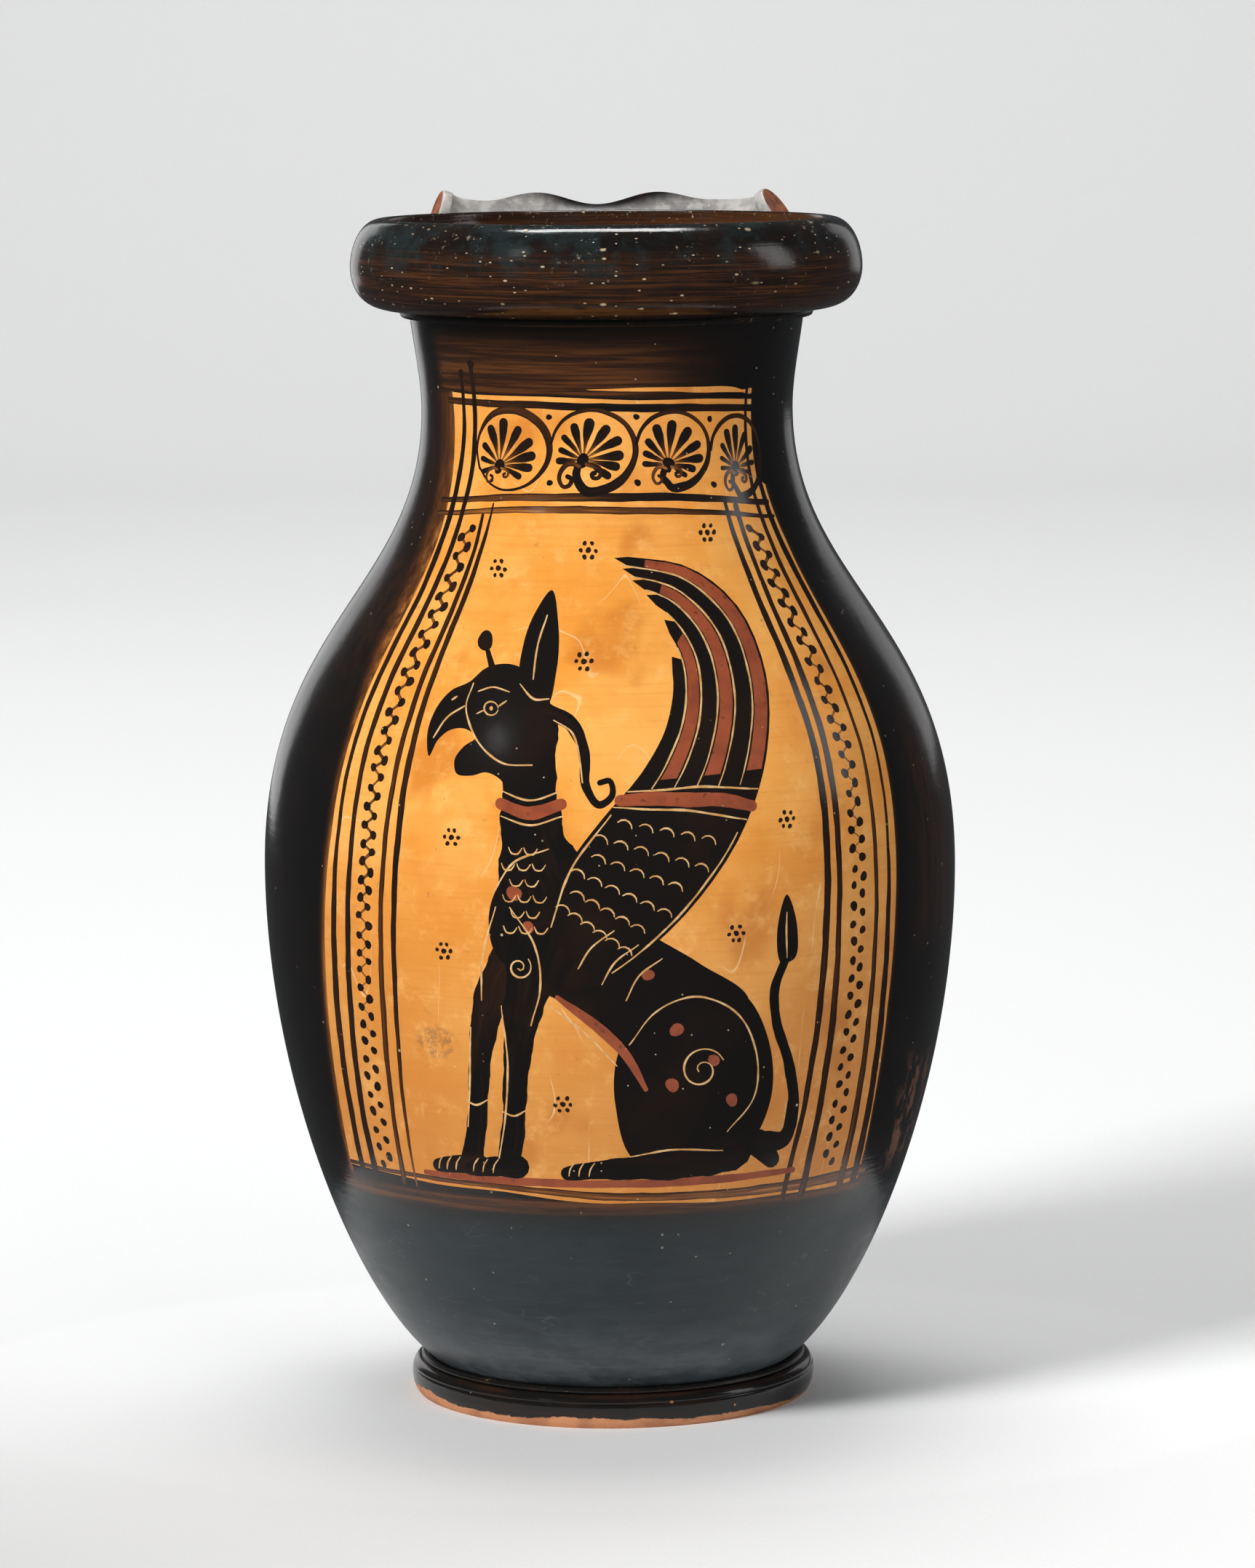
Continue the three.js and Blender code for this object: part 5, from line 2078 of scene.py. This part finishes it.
@dataclass(frozen=True)
class ScratchedClay:
    """The pale clay shown by a scratched line."""

    def make(self) -> Material:
        """Builds the material.

        Returns:
            The material.
        """
        g = Graph.of("scratched_clay")
        blotches = g.noise(2.2, 3, 0.6)
        colour = g.blend(blotches.rise(0.35, 0.65), (0.66, 0.42, 0.19), (0.50, 0.25, 0.08))
        return g.finish(colour, 0.78 + blotches * 0.1, blotches * 0.05)


class Wear(Enum):
    """Where a bare-clay finish shows."""

    INSIDE = "inside_clay"
    ROTELLE = "rotelle_clay"


@dataclass(frozen=True)
class BareClay:
    """Fired clay without slip, inside the jug and on the rotelles."""

    wear: Wear

    def make(self) -> Material:
        """Builds the material.

        Returns:
            The material.
        """
        g = Graph.of(self.wear.value)
        inside = self.wear is Wear.INSIDE
        base = (0.36, 0.13, 0.05) if inside else (0.34, 0.105, 0.042)
        dark = (0.20, 0.07, 0.03) if inside else (0.07, 0.022, 0.012)
        turned = g.noise(2.6, 3, by=(0.03, 0.03, 1)) if inside else g.noise(3, 3)
        patch = g.noise(8 if inside else 2.2, 4, 0.65)
        colour = g.blend(patch.rise(0.42, 0.7), base, dark)
        colour = g.blend(turned.rise(0.55, 0.75) * 0.3, colour, dark)
        colour = g.blend(g.specks(1.5, 0.12, 0.2) * 0.7, colour, (0.6, 0.42, 0.26))
        height = turned * (0.25 if inside else 0.05) + g.noise(0.9) * 0.04
        return g.finish(colour, 0.66 + patch * 0.16, height)


@dataclass(frozen=True)
class MouthSlip:
    """The mouth ring's slip: turned on in brown and black streaks, chipped along the lip."""

    lip_radius: float = 48.6
    green: Colour = (0.018, 0.034, 0.036)

    def make(self) -> Material:
        """Builds the material.

        Returns:
            The material.
        """
        g = Graph.of("mouth_slip")
        x, y, z = g.parts(g.place)
        radius = (x * x + y * y) ** 0.5
        streak = g.noise(0.5, 4, 0.7, by=(0.022, 0.022, 1))
        broad = g.noise(5, 2, by=(0.06, 0.06, 0.8))
        cloud = g.noise(17, 3)
        belt = z.rise(237.5, 240.5) * z.fall(249, 254.5)
        thin = (streak.rise(0.36, 0.68) * 0.46 + 0.05) * (belt * 0.84 + 0.14)
        thin = thin * (0.45 + broad.rise(0.36, 0.6) * 0.6)
        thin = thin + cloud.rise(0.5, 0.75) * 0.06
        inside = radius.fall(46.9, 48.2) * z.rise(240, 243)
        thin = thin + inside * (0.36 + streak.rise(0.4, 0.7) * 0.3 + x.rise(0, 34) * 0.34)
        black = g.ramp(thin, SLIP_STOPS)
        green = g.noise(9, 4, 0.7).rise(0.44, 0.64) * z.rise(245, 250.5) * (1 - inside)
        black = g.blend(green * 0.45, black, self.green)
        lip = abs(radius - self.lip_radius).fall(0.4, 3.2) * z.rise(254.5, 257)
        patchy = g.noise(10).rise(0.5, 0.6) * 0.5
        chips = g.noise(1.3, 4, 0.74).rise(0.61, 0.66) * (lip * 0.85 + z.rise(240, 256) * patchy)
        for spacing, share, size in ((1.7, 0.4, 0.28), (2.9, 0.45, 0.4), (5.5, 0.4, 0.66)):
            chips = chips.over(g.specks(spacing, share, size, (0.72, 0.72, 1.5)))
        chips = chips.over(g.specks(6.5, 0.16, 0.95, by=(0.42, 0.42, 1.3)))
        chips = chips * (0.5 + g.noise(22, 1).rise(0.42, 0.6) * 0.5)
        colour = g.blend(chips * 0.9, black, GRIT)
        rough = 0.09 + cloud * 0.08 + thin * 0.08
        height = streak * 0.035 + g.noise(2.6, 3) * 0.04 + g.noise(15, 1) * 0.3 - chips * 0.06
        return g.finish(colour, rough, height)


@dataclass(frozen=True)
class FootSlip:
    """The foot's slip, which stops short of the resting edge and is chipped there."""

    bare: Colour = (0.56, 0.25, 0.115)

    def make(self) -> Material:
        """Builds the material.

        Returns:
            The material.
        """
        g = Graph.of("foot_slip")
        x, y, z = g.parts(g.place)
        radius = (x * x + y * y) ** 0.5
        ragged = g.noise(3.5, 5, 0.7, by=(0.5, 0.5, 1))
        broad = g.noise(30, 1, by=(1, 1, 0.1))
        bare = (z + (ragged - 0.5) * 2.8 + (broad - 0.5) * 5).fall(1.6, 1.9)
        bare = bare.over(radius.fall(40.5, 41.5) * z.fall(6, 6.9))
        streak = g.noise(0.8, 3, 0.6, by=(0.05, 0.05, 1))
        line = abs(z - 6.9).fall(0, 0.5) * g.noise(12).rise(0.45, 0.65) * 0.2
        black = g.ramp(streak.rise(0.45, 0.7) * 0.14 + line, SLIP_STOPS)
        clay = g.blend(g.noise(5, 4).rise(0.4, 0.66), self.bare, (0.42, 0.17, 0.08))
        clay = g.blend(g.specks(1.4, 0.14, 0.2) * 0.5, clay, (0.20, 0.09, 0.05))
        chips = (g.specks(2.2, 0.14, 0.3).over(g.specks(4.4, 0.2, 0.6))) * z.fall(4, 7.4)
        colour = g.blend(bare.over(chips), black, clay)
        rough = 0.14 + bare * 0.55 + streak * 0.06
        height = streak * 0.03 + g.noise(2.4, 3) * 0.04 - bare * 0.08 + bare * g.noise(0.8) * 0.06
        return g.finish(colour, rough, height)


@dataclass(frozen=True)
class HandleSlip:
    """Black slip on reeds, crossbar and fillets, with a painted grey reflection on the crossbar's hollow
    front and on the rotelles' edges.
    """

    name: str
    # How strong the painted grey reflection is, 0 for none.
    rubbed: float = 0.0

    def make(self) -> Material:
        """Builds the material.

        Returns:
            The material.
        """
        g = Graph.of(self.name)
        x, y, z = g.parts(g.place)
        cloud = g.noise(9, 4, 0.6)
        drag = g.noise(1.6, 4, 0.6, by=(1, 1, 0.12))
        black = g.ramp(cloud.rise(0.5, 0.78) * 0.16 + drag.rise(0.5, 0.75) * 0.16, SLIP_STOPS)
        rough = 0.25 + cloud * 0.14
        if self.rubbed:
            # Painted reflection: the crossbar's hollow front and the rotelles' edges are painted grey,
            # lighter towards the rotelles, where they mirror the bright room.
            ends = abs(x).rise(21, 31)
            hollow = y.fall(47.6, 49.6).over(abs(x).rise(30, 31.5)) * z.rise(254.6, 256.4)
            painted_reflection = hollow * (0.62 + g.noise(4, 4, 0.66).rise(0.4, 0.6) * 0.5 + ends * 0.2)
            grey = g.blend(ends, (0.36, 0.345, 0.33), (0.42, 0.405, 0.38))
            black = g.blend(painted_reflection * self.rubbed, black, grey)
            rough = rough + hollow * 0.12
        chips = g.specks(2.3, 0.12, 0.3).over(g.noise(1.5, 4, 0.7).rise(0.67, 0.7) * 0.7)
        colour = g.blend(chips * 0.8, black, GRIT)
        height = drag * 0.04 + cloud * 0.12 + g.noise(2, 3) * 0.05 - chips * 0.06
        return g.finish(colour, rough, height)


# Studio


@dataclass(frozen=True)
class Softbox:
    """One square lamp. Places and sizes are metres."""

    name: str
    place: Triple
    aim: Triple
    size: Pair
    watts: float
    mirrored: bool
    washes: bool = True

    def light(self) -> None:
        """Hangs the lamp. Not mirrored, it shows no image in the gloss; not washing, it shows only there."""
        data = bpy.data.lights.new(self.name, "AREA")
        data.shape = "RECTANGLE"
        data.size, data.size_y = self.size
        data.energy = self.watts
        lamp = bpy.data.objects.new(self.name, data)
        lamp.location = self.place
        lamp.rotation_euler = (Vector(self.aim) - Vector(self.place)).to_track_quat("-Z", "Y").to_euler()
        lamp.visible_glossy = self.mirrored
        lamp.visible_diffuse = self.washes
        lamp.visible_camera = False
        bpy.context.scene.collection.objects.link(lamp)


@dataclass
class Studio:
    """A pale paper sweep, soft lamps and the camera. Places are metres and angles degrees."""

    camera: Triple = (0.00395, -1.360, 0.3157)
    pitch: float = 7.607
    roll: float = -0.34
    lens: float = 143.8
    floor_front: float = -5.0
    floor_back: float = 2.3
    sweep_radius: float = 1.2
    wall_top: float = 4.5
    half_width: float = 7.0
    near_reach: Pair = (0.15, 0.114)
    near_lift: float = 0.0002
    lamps: tuple[Softbox, ...] = (
        Softbox("key_softbox", (-1.25, -1.30, 1.35), (0.05, 0.1, 0.08), (0.55, 0.75), 52, False),
        Softbox("key_core", (-1.2, -1.25, 1.32), (0, 0, 0.1), (0.12, 0.17), 0.35, True, False),
        Softbox("fill_softbox", (1, -1.5, 0.9), (0, 0, 0.12), (1, 1), 9.5, False),
        Softbox("overhead_softbox", (0, 0.4, 1.7), (0, 0.15, 0), (0.95, 0.9), 12, False),
        Softbox("overhead_strip", (-0.03, 0.4, 1.7), (0, 0.15, 0), (0.9, 0.4), 16, True, False),
        Softbox("backdrop_softbox", (0, 1.2, 2.6), (0, 3.4, 0.9), (2.4, 1), 54, False),
        Softbox("right_window", (1.05, -0.13, 0.6), (0, 0, 0.2), (0.26, 0.5), 0.85, True, False),
        Softbox("right_rim", (0.78, 1.4, 0.5), (0.05, 0, 0.15), (0.5, 0.8), 0.6, True, False),
        Softbox("left_rim", (-0.64, 1.5, 0.4), (-0.05, 0, 0.15), (0.6, 0.9), 1.5, True, False),
    )

    def build(self) -> None:
        """Sets camera, lamps, world and sweep."""
        self._camera()
        for lamp in self.lamps:
            lamp.light()
        self._world()
        self._sweep()
        bpy.context.scene.view_settings.view_transform = "Standard"
        LOG.info("studio: %d lamps", len(self.lamps))

    def _camera(self) -> None:
        """Stands the camera where the photograph was taken."""
        data = bpy.data.cameras.new("camera")
        data.sensor_width = 36
        data.lens = self.lens
        data.clip_start, data.clip_end = 0.05, 60
        camera = bpy.data.objects.new("camera", data)
        tilt = Matrix.Rotation(math.radians(90 - self.pitch), 4, "X")
        roll = Matrix.Rotation(math.radians(self.roll), 4, "Z")
        camera.matrix_world = Matrix.Translation(self.camera) @ tilt @ roll
        bpy.context.scene.collection.objects.link(camera)
        bpy.context.scene.camera = camera

    def _world(self) -> None:
        """A dim room: pale where the camera looks past the paper, dark in the gloss."""
        world = bpy.data.worlds.new("room")
        bpy.context.scene.world = world
        g = Graph(world)
        room = g.add("Background", None, {"Color": (0.9, 0.95, 1), "Strength": 0.06})
        pale = g.add("Background", None, {"Color": (0.78, 0.78, 0.78)})
        seen = g.add("LightPath", output="Is Camera Ray")
        g.join(g.last.inputs["Surface"], g.add("MixShader", None, {0: seen, 1: room, 2: pale}))

    def _sweep(self) -> None:
        """Paper over the floor and up behind the jug, and the round of it that shows in the gloss."""
        turn = np.linspace(0, math.pi / 2, 25)
        curve = np.stack([np.sin(turn), 1 - np.cos(turn)], 1) * self.sweep_radius + (self.floor_back, 0)
        line = np.vstack([[(self.floor_front, 0)], curve, [(curve[-1, 0], self.wall_top)]])
        points = [(x, y, z) for y, z in line for x in (-self.half_width, self.half_width)]
        faces = [(2 * i, 2 * i + 1, 2 * i + 3, 2 * i + 2) for i in range(len(line) - 1)]
        paper = self._paper()
        self._sheet("wide_paper", points, faces, paper)
        turn = np.linspace(0, 2 * math.pi, 64, endpoint=False)
        wide, deep = self.near_reach
        points = [(wide * math.cos(a), deep * math.sin(a), self.near_lift) for a in turn]
        near = self._sheet("near_paper", points, [tuple(range(len(turn)))], paper)
        near.visible_glossy = True
        near.visible_camera = near.visible_diffuse = near.visible_shadow = False

    @staticmethod
    def _sheet(name: str, points: Points, faces: Sequence[Sequence[int]],
               paper: Material) -> bpy.types.Object:
        """Lays one sheet that the gloss doesn't show.

        Args:
            name: Its name.
            points: Its corners in metres.
            faces: Its facets.
            paper: What it is made of.

        Returns:
            The sheet.
        """
        mesh = bpy.data.meshes.new(name)
        mesh.from_pydata(points, [], faces)
        mesh.polygons.foreach_set("use_smooth", [True] * len(faces))
        mesh.materials.append(paper)
        sheet = bpy.data.objects.new(name, mesh)
        sheet.visible_glossy = False
        bpy.context.scene.collection.objects.link(sheet)
        return sheet

    @staticmethod
    def _paper() -> Material:
        """Mixes matt white paper with a faint tooth, and paints shade on it towards the front left.

        Returns:
            The material.
        """
        g = Graph.of("matt_paper")
        x, y, _ = g.parts(g.place)
        tooth = g.noise(1.1, 3)
        colour = g.blend(tooth.rise(0.3, 0.7), (0.80, 0.80, 0.80), (0.82, 0.82, 0.82))
        # Painted shade: the paper darkens towards the front left.
        colour = g.blend(y.fall(-420, 230) * x.fall(-260, 120), colour, (0.25, 0.25, 0.25))
        return g.finish(colour, 0.85 + tooth * 0.1, tooth * 0.02)


def main() -> None:
    """Builds studio and jug, piece by piece."""
    logging.basicConfig(level=logging.INFO, format="%(name)s %(message)s")
    Studio().build()
    body_sizes, layout = BodySizes(), PanelLayout()
    skin = Skin(body_sizes)
    brush = Brush(seed=530)
    Border(skin, layout, brush).draw()
    Frieze(skin, brush).draw()
    Griffin(skin, brush).draw()
    LOG.info("panel: %d marks", len(brush.marks))
    paints = (GroundSlip(), PanelClay(), BrushSlip(), AddedRed(), ScratchedClay(), BareClay(Wear.INSIDE))
    Body(body_sizes, skin, layout, brush.marks).make([paint.make() for paint in paints])
    foot, mouth = Foot(FootSizes(), skin), Mouth(MouthSizes(), skin)
    foot_slip, fillet_slip = FootSlip().make(), HandleSlip("fillet_slip").make()
    as_piece("turned_foot", foot.ring(), [foot_slip], "foot")
    as_piece("foot_joint", foot.fillet(), [fillet_slip], "foot_fillet")
    as_piece("mouth_torus", mouth.ring(), [MouthSlip().make()], "mouth_ring")
    as_piece("mouth_joint", mouth.fillet(), [fillet_slip], "mouth_fillet")
    handle = Handle(HandleSizes(), mouth)
    reed_slip, bar_slip = HandleSlip("reed_slip").make(), HandleSlip("bar_slip", 0.9).make()
    rotelle_clay = BareClay(Wear.ROTELLE).make()
    as_piece("scalloped_crossbar", handle.crossbar(), [bar_slip], "handle_crossbar")
    for side, word in ((-1, "left"), (1, "right")):
        as_piece(f"reed_{word}", handle.reed(side), [reed_slip], f"handle_reed_{word}")
        disc = handle.rotelle(side)
        finishes = [rotelle_clay, bar_slip]
        as_piece(f"rotelle_disc_{word}", disc, finishes, f"rotelle_{word}", crease=50)


if __name__ == "__main__":
    main()
